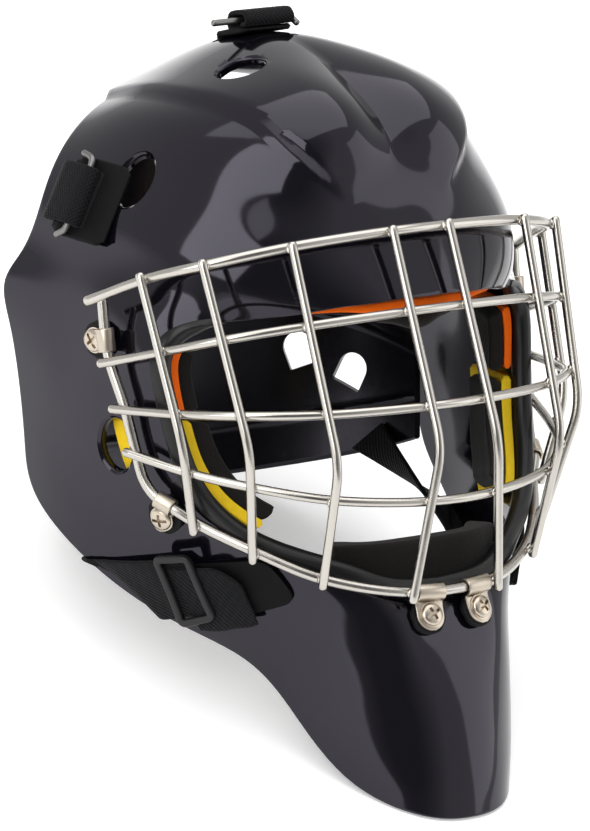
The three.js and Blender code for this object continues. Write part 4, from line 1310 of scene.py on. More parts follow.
# ---- the back plate -------------------------------------------------------------------------
@dataclass
class BackPlate:
    """The curved plate behind the head, with its D-shaped windows and raised lines."""

    half_width: float = 88.5
    middle_y: float = 106.0
    depth: float = 83.0
    wall: float = 3.0
    reach: float = 88.0
    bottom: float = -134.0
    windows: tuple[tuple[float, float, float], ...] = ((0.545, 0.345, -20.0), (0.73, 0.28, 25.0))
    window_width: float = 13.0
    window_length: float = 15.0
    plug: float = 12.0
    line_proud: float = 0.7
    line_wide: float = 0.009
    lines: tuple[tuple[float, float], ...] = ((0.13, 0.05), (0.52, -0.16), (0.6, -0.16))

    ARC_STEPS = 16  # round the top of a window
    RINGS = 130  # from the lower edge to the top
    EDGE = 160  # one part in this many of the height is rounded at either edge
    BAND = 0.036  # height of the section, whose width is 2
    LONGEST = 0.012  # of the section's sides
    UV_HIGH = 0.16  # height in metres that the finish is laid over

    def point(self, turn: float, height: float, inset: float) -> Vector:
        """A place of the plate.

        Args:
            turn: -1 at the wearer's right to 1 at the left.
            height: 0 at the lower edge to 1 at the top.
            inset: depth under the outer face, in millimetres.

        Returns:
            The place in the wearing frame.
        """
        angle = math.radians(turn * self.reach)
        z = mix(self.bottom + 22 * turn**2, 26 - 34 * turn**2, height)
        lean = 1 - 0.18 * max(0.0, (z + 40) / 70) ** 2
        x = (self.half_width - inset) * math.sin(angle) * lean
        y = self.middle_y + (self.depth - inset) * math.cos(angle) * lean
        return Vector((x, y, z))

    def ridge(self, turn: float, height: float) -> float:
        """How much the moulded lines stand proud of the inner face.

        Args:
            turn: -1 at the wearer's right to 1 at the left.
            height: 0 at the lower edge to 1 at the top.

        Returns:
            The height of the lines there, in millimetres.
        """
        proud = 0.0
        for low, bend in self.lines:
            gap = height - low - bend * turn**2
            proud += self.line_proud * math.exp(-((gap / self.line_wide) ** 2))
        return proud

    def window(self, turn: float, height: float, lean: float, sign: int) -> Body:
        """The plug that cuts one window.

        Args:
            turn: the window's place, 0 in the middle to 1 at the side.
            height: its place, 0 at the lower edge to 1 at the top.
            lean: how far it is turned in the plate's face, in degrees.
            sign: 1 on the left, -1 on the right.

        Returns:
            The plug.
        """
        half = self.window_width / 2
        outline = [Vector((-half, -self.window_length / 2)), Vector((half, -self.window_length / 2))]
        top = self.window_length / 2 - half
        turns = [k * math.pi / self.ARC_STEPS for k in range(self.ARC_STEPS + 1)]
        outline += [Vector((half * math.cos(place), top + half * math.sin(place))) for place in turns]
        middle = self.point(sign * turn, height, 0)
        out = (self.point(sign * turn, height, -1) - self.point(sign * turn, height, 1)).normalized()
        up = (Vector((0, 0, 1)) - out * out.z).normalized()
        side = up.cross(out).normalized()
        spin = Matrix.Rotation(math.radians(sign * lean), 2)

        def place(u: float, x: float, y: float) -> Vector:
            """A place on the plug's side.

            Args:
                u: part 0 to 1 of the plug, from the inside outwards.
                x: the outline's place over the window's width.
                y: the outline's place up the window.

            Returns:
                The place in the row frame.
            """
            flat = spin @ Vector((x, y))
            return rest(middle + side * flat.x + up * flat.y + out * mix(-self.plug, self.plug, u))

        return carried(outline, 1, place)

    def build(self) -> bpy.types.Object:
        """Makes the plate, rounds its edges and cuts the windows.

        Returns:
            The plate.
        """
        section = split_long(rounded_section(2.0, self.BAND, 0.0, 1), self.LONGEST)

        def place(u: float, x: float, y: float) -> Vector:
            """A place of the plate's skin.

            Args:
                u: the height, 0 at the lower edge to 1 at the top.
                x: the turn, -1 at the wearer's right to 1 at the left.
                y: the depth, from minus to plus half the section's height.

            Returns:
                The place in the row frame.
            """
            soft = 1 - rounding(min(u, 1 - u) * self.EDGE)
            inset = self.wall * (0.5 + y / self.BAND * (1 - 0.5 * soft))
            inner = self.ridge(x, u) if y > 0 else 0.0
            return rest(self.point(x, u, inset + inner))

        piece = finished("back_plate_moulding", carried(section, self.RINGS, place, self.UV_HIGH))
        for vert in piece.data.vertices:
            vert.co.z = max(vert.co.z, 0.0)
        cut(piece, [self.window(*spot, sign) for spot in self.windows for _, sign in SIDES])
        return piece


# ---- foam pads ------------------------------------------------------------------------------
class Foam(Enum):
    """What a pad is made of."""

    COMFORT = "comfort_foam"
    ORANGE = "liner_orange"
    YELLOW = "liner_yellow"


@dataclass(frozen=True)
class Pad:
    """A pad along the inside of the shell.

    angles and across are its ends, depth its two faces' distance from the shell's outer face,
    soft the radius of its edges in millimetres. A side pad grows towards the face axis, and a pad
    with a level stands up past the opening to that height.
    """

    name: str
    foam: Foam
    angles: tuple[float, float]
    across: tuple[float, float]
    depth: tuple[float, float]
    soft: float
    side_lift: float | None = None
    level: float | None = None

    ACROSS_MM = 105.0  # from the face opening to the rim, about
    ROUND_MM = 95.0  # radius that a pad's angles are measured at, about
    FACET = 1.6  # longest side of the skin
    CROWN = 0.5  # how much the middle of a pad's face swells
    WAVE = 0.45  # how much the face is uneven
    WAVE_PACE = (0.05, 0.06)  # how fast it is uneven along and over the pad
    END_THIN = 0.5  # thickness of the rounded ends, as a share

    def build(self, name: str, sign: int) -> bpy.types.Object:
        """Carries the pad's crowned section along the shell and rounds its two ends.

        Args:
            name: the piece's name.
            sign: 1 on the left and in the middle, -1 on the right.

        Returns:
            The pad.
        """
        width = (self.across[1] - self.across[0]) * self.ACROSS_MM
        thick = abs(self.depth[1] - self.depth[0])
        middle = (self.across[0] + self.across[1]) / 2
        section = split_long(rounded_section(width, thick, self.soft, 5), self.FACET)
        length = math.radians(abs(self.angles[1] - self.angles[0])) * self.ROUND_MM

        def place(u: float, x: float, y: float) -> Vector:
            """A place of the pad's skin.

            Args:
                u: part 0 to 1 of the pad, from its first angle.
                x: its place over the pad's width.
                y: its place through its thickness, larger towards the head.

            Returns:
                The place in the row frame.
            """
            ends = rounding(min(u, 1 - u) * length / self.soft)
            angle = sign * mix(self.angles[0], self.angles[1], u)
            if y > thick / 4:
                spot = Vector((u * length * self.WAVE_PACE[0], x * self.WAVE_PACE[1], thick))
                swell = self.CROWN * math.cos(x / width * math.pi) + self.WAVE * noise.noise(spot)
            else:
                swell = 0.0
            y = y * mix(self.END_THIN, 1.0, ends) + swell
            x = x * mix(1 - 2 * self.soft / width, 1.0, ends)
            deep = y + thick / 2
            place_across = middle + x / self.ACROSS_MM
            if self.level is not None and place_across < 0:
                foot = ShellSurface.offset(angle, 0.0, self.depth[0] - deep)
                foot.z = mix(foot.z, max(foot.z, self.level), place_across / self.across[0])
                return rest(foot)
            if self.side_lift is None:
                return rest(ShellSurface.offset(angle, place_across, self.depth[0] - deep))
            turn = math.radians(angle)
            inward = Vector((-math.sin(turn), 0, math.cos(turn)))
            foot = ShellSurface.offset(angle, place_across, self.side_lift)
            return rest(foot + inward * (self.depth[0] + deep))

        rings = max(24, round(length / self.FACET))
        return finished(name, carried(section, rings, place, length * MM), SHARP_FOAM)


@dataclass
class Padding:
    """All the pads and their coloured liners."""

    middle: tuple[Pad, ...] = (
        Pad("brow_liner", Foam.ORANGE, (-233, -127), (-0.03, 0.3), (-5, -7), 0.7),
        Pad("brow_pad", Foam.COMFORT, (-230, -130), (-0.055, 0.28), (-8, -14), 2.6),
        Pad("chin_pad", Foam.COMFORT, (-38, 38), (-0.2, 0.36), (-6.9, -18), 2.2, None, -126),
    )
    side: tuple[Pad, ...] = (
        Pad("temple_liner", Foam.ORANGE, (91, 108), (-0.02, 0.5), (0, 4), 0.9, -6.4),
        Pad("temple_pad", Foam.COMFORT, (91, 108), (-0.01, 0.38), (4.5, 12), 2.4, -6.4),
        Pad("jaw_liner", Foam.YELLOW, (57, 89), (-0.03, 0.52), (0, 5), 0.9, -6.4),
        Pad("jaw_pad", Foam.COMFORT, (57, 88), (-0.02, 0.4), (5.5, 14.5), 3.0, -6.4),
    )

    def dress(self, finishes: dict[str, bpy.types.Material]) -> None:
        """Builds every pad and gives it its foam."""
        for pad in self.middle:
            self.lay(pad, pad.name, 1, finishes)
        for pad in self.side:
            for side, sign in SIDES:
                self.lay(pad, f"{pad.name}_{side}", sign, finishes)

    def lay(self, pad: Pad, node: str, sign: int, finishes: dict[str, bpy.types.Material]) -> None:
        """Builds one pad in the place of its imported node.

        Args:
            pad: the pad.
            node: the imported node.
            sign: 1 on the left and in the middle, -1 on the right.
            finishes: the materials by slot.
        """
        piece = pad.build(f"{node}_foam", sign)
        placed(piece, finishes[pad.foam.value], pad.foam.value, node)


# ---- straps ---------------------------------------------------------------------------------
@dataclass(frozen=True)
class Ribbon:
    """Flat webbing along stations, each the two edges of the webbing's middle plane."""

    width: float
    thick: float
    edges: tuple[tuple[Vector, Vector], ...]
    rings: int

    SOFT = 0.42  # radius of the section's corners, as a share of its thickness
    FACET = 1.3  # longest side of the section

    def build(self) -> Body:
        """Carries the webbing's rounded section along its stations.

        Returns:
            The webbing.
        """
        left = catmull([edge[0] for edge in self.edges], self.rings + 1)
        right = catmull([edge[1] for edge in self.edges], self.rings + 1)
        middles = [(a + b) / 2 for a, b in zip(left, right)]
        section = split_long(rounded_section(self.width, self.thick, self.thick * self.SOFT, 3), self.FACET)
        last = self.rings

        def place(u: float, x: float, y: float) -> Vector:
            """A place of the webbing's skin.

            Args:
                u: part 0 to 1 of the webbing.
                x: its place over its width.
                y: its place through its thickness.

            Returns:
                The place in the row frame.
            """
            k = round(u * last)
            across = (right[k] - left[k]).normalized()
            run = (middles[min(k + 1, last)] - middles[max(k - 1, 0)]).normalized()
            out = across.cross(run).normalized()
            span = (right[k] - left[k]).length / self.width
            return rest(middles[k] + across * x * span + out * y)

        length = sum((b - a).length for a, b in zip(middles, middles[1:])) * MM
        return carried(section, last, place, length)


@dataclass(frozen=True)
class HeadStrap:
    """An elastic strap that loops round a wire hook, goes in through its slot and ends on the plate.

    angle, slot and loop say where on the shell its slot and loop are, over and high are the loop's
    length and height, plate the strap's two corners on the plate and slide how far it runs on
    there, keeper the keeper's width and length, and pin the hook's places over the loop.
    """

    angle: float
    slot: float
    loop: float
    over: float
    high: float
    plate: tuple[tuple[float, float], tuple[float, float]]
    slide: tuple[float, float]
    keeper: tuple[float, float]
    pin: tuple[tuple[float, float, float], ...]

    WIDE = 25.0
    THICK = 1.9
    RINGS = 170
    LOW = 0.8  # height of the loop's lower face over the shell
    THROUGH = (0.2, -3.0, -6.5)  # heights of the strap in its slot
    LEAVE = -7.5  # where it leaves the slot for the plate
    TO_PLATE = ((0.45, 0.0), (0.85, 0.2), (1.0, 0.5), (1.0, 1.0))  # part of the way, and of the slide
    OFF_PLATE = 1.6  # from the plate's outer face to the strap's middle
    HOOK_WIRE = 1.4
    KEEPER_THICK = 2.6
    KEEPER_SPAN = (-0.62, 0.5)  # where the keeper starts and ends, in its own lengths

    def loop_line(self) -> list[Vector]:
        """The loop from its hidden end, once round the wire hook, to the shell.

        Returns:
            The line's places: 0, and y and z of the loop's own axes.
        """
        half = self.THICK / 2
        side = 1 if self.slot > self.loop else -1
        flat = self.over / 2
        top, low = self.LOW + self.high - half, self.LOW + half
        line = [(-0.35 * flat, low + 1.9), (-0.72 * flat, low + 2.2), (-flat + half, (top + low) / 2)]
        line += [(-0.62 * flat, top - 0.5), (-0.2 * flat, top), (0.25 * flat, top), (0.66 * flat, top - 0.6)]
        line += [(flat - half, (top + low) / 2), (0.78 * flat, low + 0.6), (0.3 * flat, low)]
        return [Vector((0, side * y, z)) for y, z in line]

    def build(self, sign: int, plate: BackPlate) -> Body:
        """Makes the whole strap of one side as one ribbon.

        Args:
            sign: 1 on the left and at the crown, -1 on the right.
            plate: the plate that it ends on.

        Returns:
            The strap.
        """
        half = self.WIDE / 2
        over = ShellSurface.axes(sign * self.angle, self.loop)
        hole = ShellSurface.axes(sign * self.angle, self.slot)
        edges = []
        for spot in self.loop_line():
            edges.append(tuple(over @ Vector((x, spot.y, spot.z)) for x in (-half, half)))
        for z in self.THROUGH:
            edges.append(tuple(hole @ Vector((x, 0, z)) for x in (-half, half)))
        low, high = self.plate if sign > 0 else self.plate[::-1]
        for part, down in self.TO_PLATE:
            pair = []
            for x, corner in ((-half, low), (half, high)):
                inside = hole @ Vector((x, 0, self.LEAVE))
                turn, height = corner[0] + self.slide[0] * down, corner[1] + self.slide[1] * down
                pair.append(inside.lerp(plate.point(sign * turn, height, -self.OFF_PLATE), part))
            edges.append(tuple(pair))
        return Ribbon(self.WIDE, self.THICK, tuple(edges), self.RINGS).build()

    def pin_body(self, sign: int) -> Body:
        """The wire hook through the loop."""
        over = ShellSurface.axes(sign * self.angle, self.loop)
        points = [over @ Vector((sign * x, y, z)) for x, y, z in self.pin]
        return tube(catmull(points, 60), self.HOOK_WIRE, 14)

    def base_body(self, sign: int) -> Body:
        """The moulded keeper that the hook stands on, under and beside the loop.

        Args:
            sign: 1 on the left and at the crown, -1 on the right.

        Returns:
            The keeper.
        """
        over = ShellSurface.axes(sign * self.angle, (self.slot + self.loop) / 2)
        section = rounded_section(self.keeper[0], self.KEEPER_THICK, 1.0, 3)

        def place(u: float, x: float, y: float) -> Vector:
            """A place of the keeper's skin, which thins out towards its ends.

            Args:
                u: part 0 to 1 of the keeper, from the side of the face opening.
                x: its place over its width.
                y: its place through its thickness.

            Returns:
                The place in the row frame.
            """
            ends = smooth(min(u, 1 - u) * 7)
            across = mix(*self.KEEPER_SPAN, u) * self.keeper[1]
            return rest(over @ Vector((x * mix(0.86, 1, ends), across, 0.7 + y * mix(0.35, 1.0, ends))))

        return carried(split_long(section, 2.0), 24, place)


SIDE_STRAP = HeadStrap(
    angle=132, slot=0.8, loop=0.878, over=20, high=7.5,
    plate=((0.96, 0.9), (0.84, 1.03)), slide=(-0.1, -0.06), keeper=(34, 28),
    pin=(
        (-17.5, 2.5, 3.4), (-15.5, -4.4, 4.5), (-8, -5, 4.6), (0, -5, 4.6),
        (8, -5, 4.6), (14.5, -4.6, 4.6), (17.5, 0, 3.4),
    ),
)
CROWN_STRAP = HeadStrap(
    angle=180, slot=0.872, loop=0.835, over=14, high=9.0,
    plate=((-0.085, 1.03), (0.085, 1.03)), slide=(0, -0.2), keeper=(25, 20),
    pin=((-25, -1, 5.4), (-12, -1, 5.5), (0, -1, 5.6), (9, -1, 5.6), (13.4, -1.6, 5.2), (14.8, -4.6, 2.4)),
)


@dataclass
class JawStrap:
    """The webbing of one jaw with its slide buckle, its tail and the anchor band."""

    half: float = 6.6
    start: float = 49.0
    slant: float = 1.4
    begin: float = 0.5
    rim: float = 1.008
    width: float = 25.0
    thick: float = 1.8
    buckle_lift: float = 7.2

    # Places on the shell: the angle from the chin in degrees, the place across and, where there is
    # a third number, the height over the shell in millimetres.
    ROUND_RIM = ((0.99, 2.0), (1.018, 0.2), (1.02, -4.0), (0.985, -6.3), (0.95, -6.6))
    LEAVE = (0.94, -6.6)  # where the webbing leaves the shell for the plate
    PLATE = ((0.86, 0.09), (0.74, 0.02))  # turn and height of its two corners on the plate
    TAIL = (
        ((54.0, 0.60, 5.0), (40.5, 0.86, 5.0)), ((53.4, 0.50, 5.6), (39.5, 0.79, 5.6)),
        ((52.0, 0.40, 5.6), (38.8, 0.70, 5.6)), ((48.2, 0.40, 5.2), (37.8, 0.64, 5.2)),
        ((46.2, 0.42, 5.0), (37.6, 0.61, 5.0)),
    )
    BAND_REAR = ((54.0, 0.56), (40.5, 0.66))
    BAND_FRONT = ((50.5, 0.135), (37.3, 0.37))
    BAND_LIFT = 1.3
    BAND_THICK = 1.7
    BAND_END = 0.2  # part of the band that its round end takes
    BUCKLE = ((57.6, 0.58), (57.1, 0.4), (42.0, 0.69), (42.5, 0.9))
    BUCKLE_MIDDLE = (48, 0.65)
    BUCKLE_BAR = (3.3, 3.0)  # width and thickness of the frame
    BUCKLE_INSET = 3.2  # from the corners to the frame's middle line, both sides together
    WAIST = 0.05  # how much narrower the buckle's middle is, as a share
    PIN_DROP = 4.4  # from the frame to the pin that the webbing goes round

    def angle(self, across: float) -> float:
        """The angle of the strap's middle at a place across the shell."""
        return self.start + self.slant * (across - self.begin) / (self.rim - self.begin)

    def lift(self, across: float) -> float:
        """Height of the strap's middle plane over the shell."""
        return 2.2 + 1.9 * smooth((0.92 - across) / 0.2)

    def pair(self, sign: int, across: float, lift: float) -> tuple[Vector, Vector]:
        """The two edges of the webbing at a place across the shell and a height over it."""
        turns = (self.angle(across) + side * self.half for side in (-1, 1))
        return tuple(ShellSurface.offset(sign * turn, across, lift) for turn in turns)

    def strap(self, sign: int, plate: BackPlate) -> Body:
        """The webbing from the buckle round the rim and up to the plate.

        Args:
            sign: 1 on the left, -1 on the right.
            plate: the plate that it ends on.

        Returns:
            The webbing.
        """
        along = [self.begin + 0.05 * k for k in range(10)]
        edges = [self.pair(sign, across, self.lift(across)) for across in along]
        edges += [self.pair(sign, *spot) for spot in self.ROUND_RIM]
        last = self.pair(sign, *self.LEAVE)
        ends = [plate.point(sign * turn, height, plate.wall + 1.6) for turn, height in self.PLATE]
        for part in (0.35, 0.7, 1.0):
            edges.append(tuple(inner.lerp(end, part) for inner, end in zip(last, ends)))
        return Ribbon(self.width, self.thick, tuple(edges), 150).build()

    def corners(self, sign: int) -> list[Vector]:
        """The buckle's corners over the shell: rear top, front top, front low and rear low."""
        return [ShellSurface.offset(sign * angle, across, self.buckle_lift) for angle, across in self.BUCKLE]

    @staticmethod
    def patch(spots: Sequence[Vector], s: float, t: float) -> Vector:
        """A place between four corners: s from the rear to the front, t from the top down."""
        return spots[0].lerp(spots[1], s).lerp(spots[3].lerp(spots[2], s), t)

    def tail(self, sign: int) -> Body:
        """The free end past the buckle, which stands off the shell.

        Args:
            sign: 1 on the left, -1 on the right.

        Returns:
            The tail.
        """
        edges = tuple(
            tuple(ShellSurface.offset(sign * angle, across, lift) for angle, across, lift in (low, top))
            for top, low in self.TAIL
        )
        return Ribbon(self.width, self.thick, edges, 40).build()

    def anchor(self, sign: int) -> Body:
        """The flat coated band that runs forward from the buckle and ends round on the shell.

        Args:
            sign: 1 on the left, -1 on the right.

        Returns:
            The band.
        """
        section = split_long(rounded_section(1.0, 1.0, 0.22, 3), 0.08)

        def place(u: float, x: float, y: float) -> Vector:
            """A place of the band's skin.

            Args:
                u: part 0 to 1 of the band, from its round front end.
                x: its place over its width.
                y: its place through its thickness.

            Returns:
                The place in the row frame.
            """
            t = 0.5 + x * mix(0.62, 1.0, rounding(u / self.BAND_END))
            ends = [
                (mix(front[0], rear[0], u), mix(front[1], rear[1], u))
                for front, rear in zip(self.BAND_FRONT, self.BAND_REAR)
            ]
            angle, across = (mix(ends[0][axis], ends[1][axis], t) for axis in (0, 1))
            return rest(ShellSurface.offset(sign * angle, across, self.BAND_LIFT + y * self.BAND_THICK))

        return carried(section, 60, place, 0.05)

    def buckle(self, sign: int) -> Body:
        """The slide buckle: a waisted frame with a round pin under it.

        Args:
            sign: 1 on the left, -1 on the right.

        Returns:
            The buckle.
        """
        spots = self.corners(sign)
        tall = ((spots[3] - spots[0]).length + (spots[2] - spots[1]).length) / 2
        wide = ((spots[1] - spots[0]).length + (spots[2] - spots[3]).length) / 2
        inset = self.BUCKLE_INSET
        ring = split_long(rounded_section(tall - inset, wide - inset, 2.0, 6), 1.0)
        count = len(ring)
        section = rounded_section(*self.BUCKLE_BAR, 1.1, 4)
        face = (spots[1] - spots[0]).cross(spots[3] - spots[0]).normalized()
        if face.dot(ShellSurface.plain_normal(sign * self.BUCKLE_MIDDLE[0], self.BUCKLE_MIDDLE[1])) < 0:
            face.negate()

        def place(u: float, x: float, y: float) -> Vector:
            """A place of the frame's skin.

            Args:
                u: part 0 to 1 of the way round the frame.
                x: its place outwards in the frame's plane.
                y: its place out of that plane.

            Returns:
                The place in the row frame.
            """
            k = round(u * count) % count
            spot, before, after = ring[k], ring[k - 1], ring[(k + 1) % count]
            run = (after - before).normalized()
            out = Vector((run.y, -run.x))
            waist = 1 - self.WAIST * (1 - (2 * spot.x / tall) ** 2)
            flat = Vector((spot.x + out.x * x, spot.y * waist + out.y * x))
            return rest(self.patch(spots, 0.5 + flat.y / wide, 0.5 + flat.x / tall) + face * y)

        frame_body = carried(section, count, place, closed=True)
        pin = [self.patch(spots, 0.52, t) - face * self.PIN_DROP for t in (0.1, 0.5, 0.9)]
        return joined([frame_body, tube(spaced(pin, 12), 1.0, 12)])


# ---- finishes -------------------------------------------------------------------------------
def linear(code: str) -> tuple[float, float, float, float]:
    """Turns an sRGB hex colour into the renderer's linear colour."""
    parts = [int(code.lstrip("#")[k : k + 2], 16) / 255 for k in (0, 2, 4)]
    return (*(p / 12.92 if p <= 0.04045 else ((p + 0.055) / 1.055) ** 2.4 for p in parts), 1.0)


class Shader:
    """A node tree that is being filled, with the coordinates that its patterns are laid on."""

    def __init__(self, tree: bpy.types.NodeTree) -> None:
        """Empties the tree and starts it with its coordinates."""
        tree.nodes.clear()
        self.tree = tree
        self.coordinates = self.add("ShaderNodeTexCoord").outputs

    def add(
        self,
        kind: str,
        settings: dict[str | int, object] | None = None,
        links: dict[str | int, Socket] | None = None,
    ) -> bpy.types.Node:
        """Adds a node with its settings and links.

        Args:
            kind: the node's type name.
            settings: values by attribute name or by input socket name or number.
            links: output sockets by the input they feed.

        Returns:
            The node.
        """
        made = self.tree.nodes.new(kind)
        for key, value in (settings or {}).items():
            if isinstance(key, str) and hasattr(made, key):
                setattr(made, key, value)
            else:
                made.inputs[key].default_value = value
        for key, source in (links or {}).items():
            self.tree.links.new(source, made.inputs[key])
        return made

    def cloud(self, size: float, detail: float, rough: float = 0.5) -> Socket:
        """A cloudy pattern from 0 to 1, its patches size metres wide, with finer layers."""
        settings = {"Scale": 1 / size, "Detail": detail, "Roughness": rough}
        links = {"Vector": self.coordinates["Object"]}
        return self.add("ShaderNodeTexNoise", settings, links).outputs["Fac"]

    def ranged(
        self, value: Socket, span: tuple[float, float], to: tuple[float, float] = (0.0, 1.0)
    ) -> Socket:
        """Moves a value from one span to another."""
        settings = {"From Min": span[0], "From Max": span[1], "To Min": to[0], "To Max": to[1]}
        return self.add("ShaderNodeMapRange", settings, {"Value": value}).outputs["Result"]

    def maths(self, name: str, *terms: Socket | float) -> Socket:
        """Does a sum on numbers, or on the sockets that give them.

        Args:
            name: the sum's name.
            terms: the numbers and sockets, in order.

        Returns:
            The result.
        """
        numbers = {k: term for k, term in enumerate(terms) if isinstance(term, float)}
        sockets = {k: term for k, term in enumerate(terms) if not isinstance(term, float)}
        return self.add("ShaderNodeMath", {"operation": name, **numbers}, sockets).outputs["Value"]

    def relief(self, height: Socket, strength: float, depth: float) -> Socket:
        """The surface's normal under a fine relief, its depth in metres."""
        settings = {"Strength": strength, "Distance": depth}
        return self.add("ShaderNodeBump", settings, {"Height": height}).outputs["Normal"]

    def toned(self, code: str, share: Socket, gain: float, lift: float = 0.0) -> Socket:
        """A colour that is paler where a pattern is high.

        Args:
            code: the colour, as an sRGB hex code.
            share: the pattern, from 0 to 1.
            gain: what the linear colour is multiplied by where the pattern is 1.
            lift: what is added to it there.

        Returns:
            The mixed colour.
        """
        dark = linear(code)
        pale = (*(part * gain + lift for part in dark[:3]), 1.0)
        settings = {"data_type": "RGBA", "A": dark, "B": pale}
        return self.add("ShaderNodeMix", settings, {"Factor": share}).outputs["Result"]

    def close(self, settings: dict[str, object], links: dict[str, Socket]) -> None:
        """Ends a material's tree in a Principled shader with these settings and links."""
        principled = self.add("ShaderNodeBsdfPrincipled", settings, links)
        self.add("ShaderNodeOutputMaterial", links={"Surface": principled.outputs["BSDF"]})


@dataclass(frozen=True)
class Finish:
    """What every finish has: its name, colour and how rough it is. Lengths are in metres."""

    name: str
    colour: str
    roughness: float

    def build(self) -> bpy.types.Material:
        """Makes the material.

        Returns:
            The material, with the shader that wire() fills.
        """
        material = bpy.data.materials.new(self.name)
        material.use_nodes = True
        self.wire(Shader(material.node_tree))
        return material

    def wire(self, shader: Shader) -> None:
        """Fills the material's shader."""
        raise NotImplementedError


@dataclass(frozen=True)
class GlossLacquer(Finish):
    """Composite shell, moulded and sprayed: deep black under a clear coat that is almost flat.

    The coat has a faint orange peel and a dust of fine rubbing marks.
    """

    peel: float
    marks: float

    PEEL_SIZE = 0.012
    MARK_SIZE = 0.0022

    def wire(self, shader: Shader) -> None:
        """Fills the material's shader.

        Args:
            shader: the material's shader, with its coordinates only.
        """
        marks = shader.cloud(self.MARK_SIZE, 4.0, 0.65)
        haze = shader.ranged(marks, (0.35, 0.75), (self.roughness, self.roughness + self.marks))
        normal = shader.relief(shader.cloud(self.PEEL_SIZE, 1.0), 0.12, self.peel)
        settings = {
            "Base Color": linear(self.colour), "IOR": 1.47, "Specular Tint": linear("#f2ecff"),
            "Coat Weight": 0.05, "Coat Roughness": 0.03, "Coat IOR": 1.5,
        }
        shader.close(settings, {"Roughness": haze, "Normal": normal, "Coat Normal": normal})


@dataclass(frozen=True)
class Metal(Finish):
    """Drawn and polished wire or plated sheet: bright, with faint draw marks and handling marks."""

    GRAIN = 0.0006
    GRAIN_DEPTH = 0.00008
    HANDLED = 0.009  # size of the patches that handling leaves
    UNEVEN = 0.12  # how much rougher they are

    def wire(self, shader: Shader) -> None:
        """Fills the material's shader.

        Args:
            shader: the material's shader, with its coordinates only.
        """
        handled = shader.cloud(self.HANDLED, 2.0)
        shine = shader.ranged(handled, (0.3, 0.7), (self.roughness, self.roughness + self.UNEVEN))
        normal = shader.relief(shader.cloud(self.GRAIN, 3.0), 0.15, self.GRAIN_DEPTH)
        settings = {"Base Color": linear(self.colour), "Metallic": 1.0}
        shader.close(settings, {"Roughness": shine, "Normal": normal})


@dataclass(frozen=True)
class Moulded(Finish):
    """Moulded rubber or plastic: a fine grain all over, rubber with more of it and less shine."""

    grain: float
    depth: float
    strength: float
    shine: float

    DUST = 0.014  # size of the patches of dust

    def wire(self, shader: Shader) -> None:
        """Fills the material's shader.

        Args:
            shader: the material's shader, with its coordinates only.
        """
        colour = shader.toned(self.colour, shader.cloud(self.DUST, 3.0), 1.6, 0.003)
        normal = shader.relief(shader.cloud(self.grain, 3.0), self.strength, self.depth)
        settings = {"Roughness": self.roughness, "IOR": 1.5, "Specular IOR Level": self.shine}
        shader.close(settings, {"Base Color": colour, "Normal": normal})


@dataclass(frozen=True)
class FoamCloth(Finish):
    """Closed-cell foam, bare or under brushed cloth: matt, with a soft nap and a fine cell."""

    cell: float = 0.0011
    depth: float = 0.00025
    sheen: float = 0.08

    NAP = 0.004

    def wire(self, shader: Shader) -> None:
        """Fills the material's shader.

        Args:
            shader: the material's shader, with its coordinates only.
        """
        links = {"Vector": shader.coordinates["Object"]}
        cells = shader.add("ShaderNodeTexVoronoi", {"Scale": 1 / self.cell}, links)
        nap = shader.cloud(self.NAP, 5.0, 0.7)
        normal = shader.relief(shader.maths("ADD", cells.outputs["Distance"], nap), 0.5, self.depth)
        settings = {
            "Roughness": self.roughness, "Specular IOR Level": 0.15,
            "Sheen Weight": self.sheen, "Sheen Roughness": 0.5,
        }
        shader.close(settings, {"Base Color": shader.toned(self.colour, nap, 1.35), "Normal": normal})


class Weave(Enum):
    """How webbing is woven: in a grid of small ribs, or in ribs that run aslant."""

    RIBBED = "ribbed"
    TWILL = "twill"


@dataclass(frozen=True)
class Webbing(Finish):
    """Woven nylon or elastic: ribs of thread in relief, the top of each painted paler as a painted highlight.

    Real threads are about 0.5 mm apart; they are drawn wider, at the pitch, so that they still
    show.
    """

    weave: Weave
    pitch: float = 0.0013

    DEPTH = 0.0004

    def wave(self, shader: Shader, along: Socket, pace: float) -> Socket:
        """Ribs across a coordinate, this many in a pitch."""
        return shader.maths("SINE", shader.maths("MULTIPLY", along, 2 * math.pi / self.pitch * pace))

    def wire(self, shader: Shader) -> None:
        """Fills the material's shader.

        Args:
            shader: the material's shader, with its coordinates only.
        """
        uv = shader.add("ShaderNodeUVMap", {"uv_map": "surface"}).outputs["UV"]
        split = shader.add("ShaderNodeSeparateXYZ", links={"Vector": uv}).outputs
        along, over = split["X"], split["Y"]
        if self.weave is Weave.TWILL:
            warp = self.wave(shader, shader.maths("ADD", along, over), 0.7)
            weft = self.wave(shader, shader.maths("SUBTRACT", along, over), 0.35)
            threads = shader.maths("MULTIPLY_ADD", weft, 0.35, warp)
        else:
            threads = shader.maths("MULTIPLY", self.wave(shader, along, 1.0), self.wave(shader, over, 0.8))
        rise = shader.ranged(threads, (-1.0, 1.0))
        settings = {
            "Roughness": self.roughness, "Specular IOR Level": 0.12,
            "Sheen Weight": 0.05, "Sheen Roughness": 0.4,
        }
        normal = shader.relief(rise, 0.8, self.DEPTH)
        # The base colour is painted paler on the tops of the threads: a painted highlight over the relief.
        shader.close(settings, {"Base Color": shader.toned(self.colour, rise, 2.2, 0.002), "Normal": normal})


@dataclass(frozen=True)
class PaleFloor(Finish):
    """A matt floor that glows a little, so that it stays white round the mask."""

    glow: float

    def wire(self, shader: Shader) -> None:
        """Fills the material's shader."""
        settings = {
            "Base Color": linear(self.colour), "Roughness": self.roughness,
            "Emission Color": (1, 1, 1, 1), "Emission Strength": self.glow,
        }
        shader.close(settings, {})


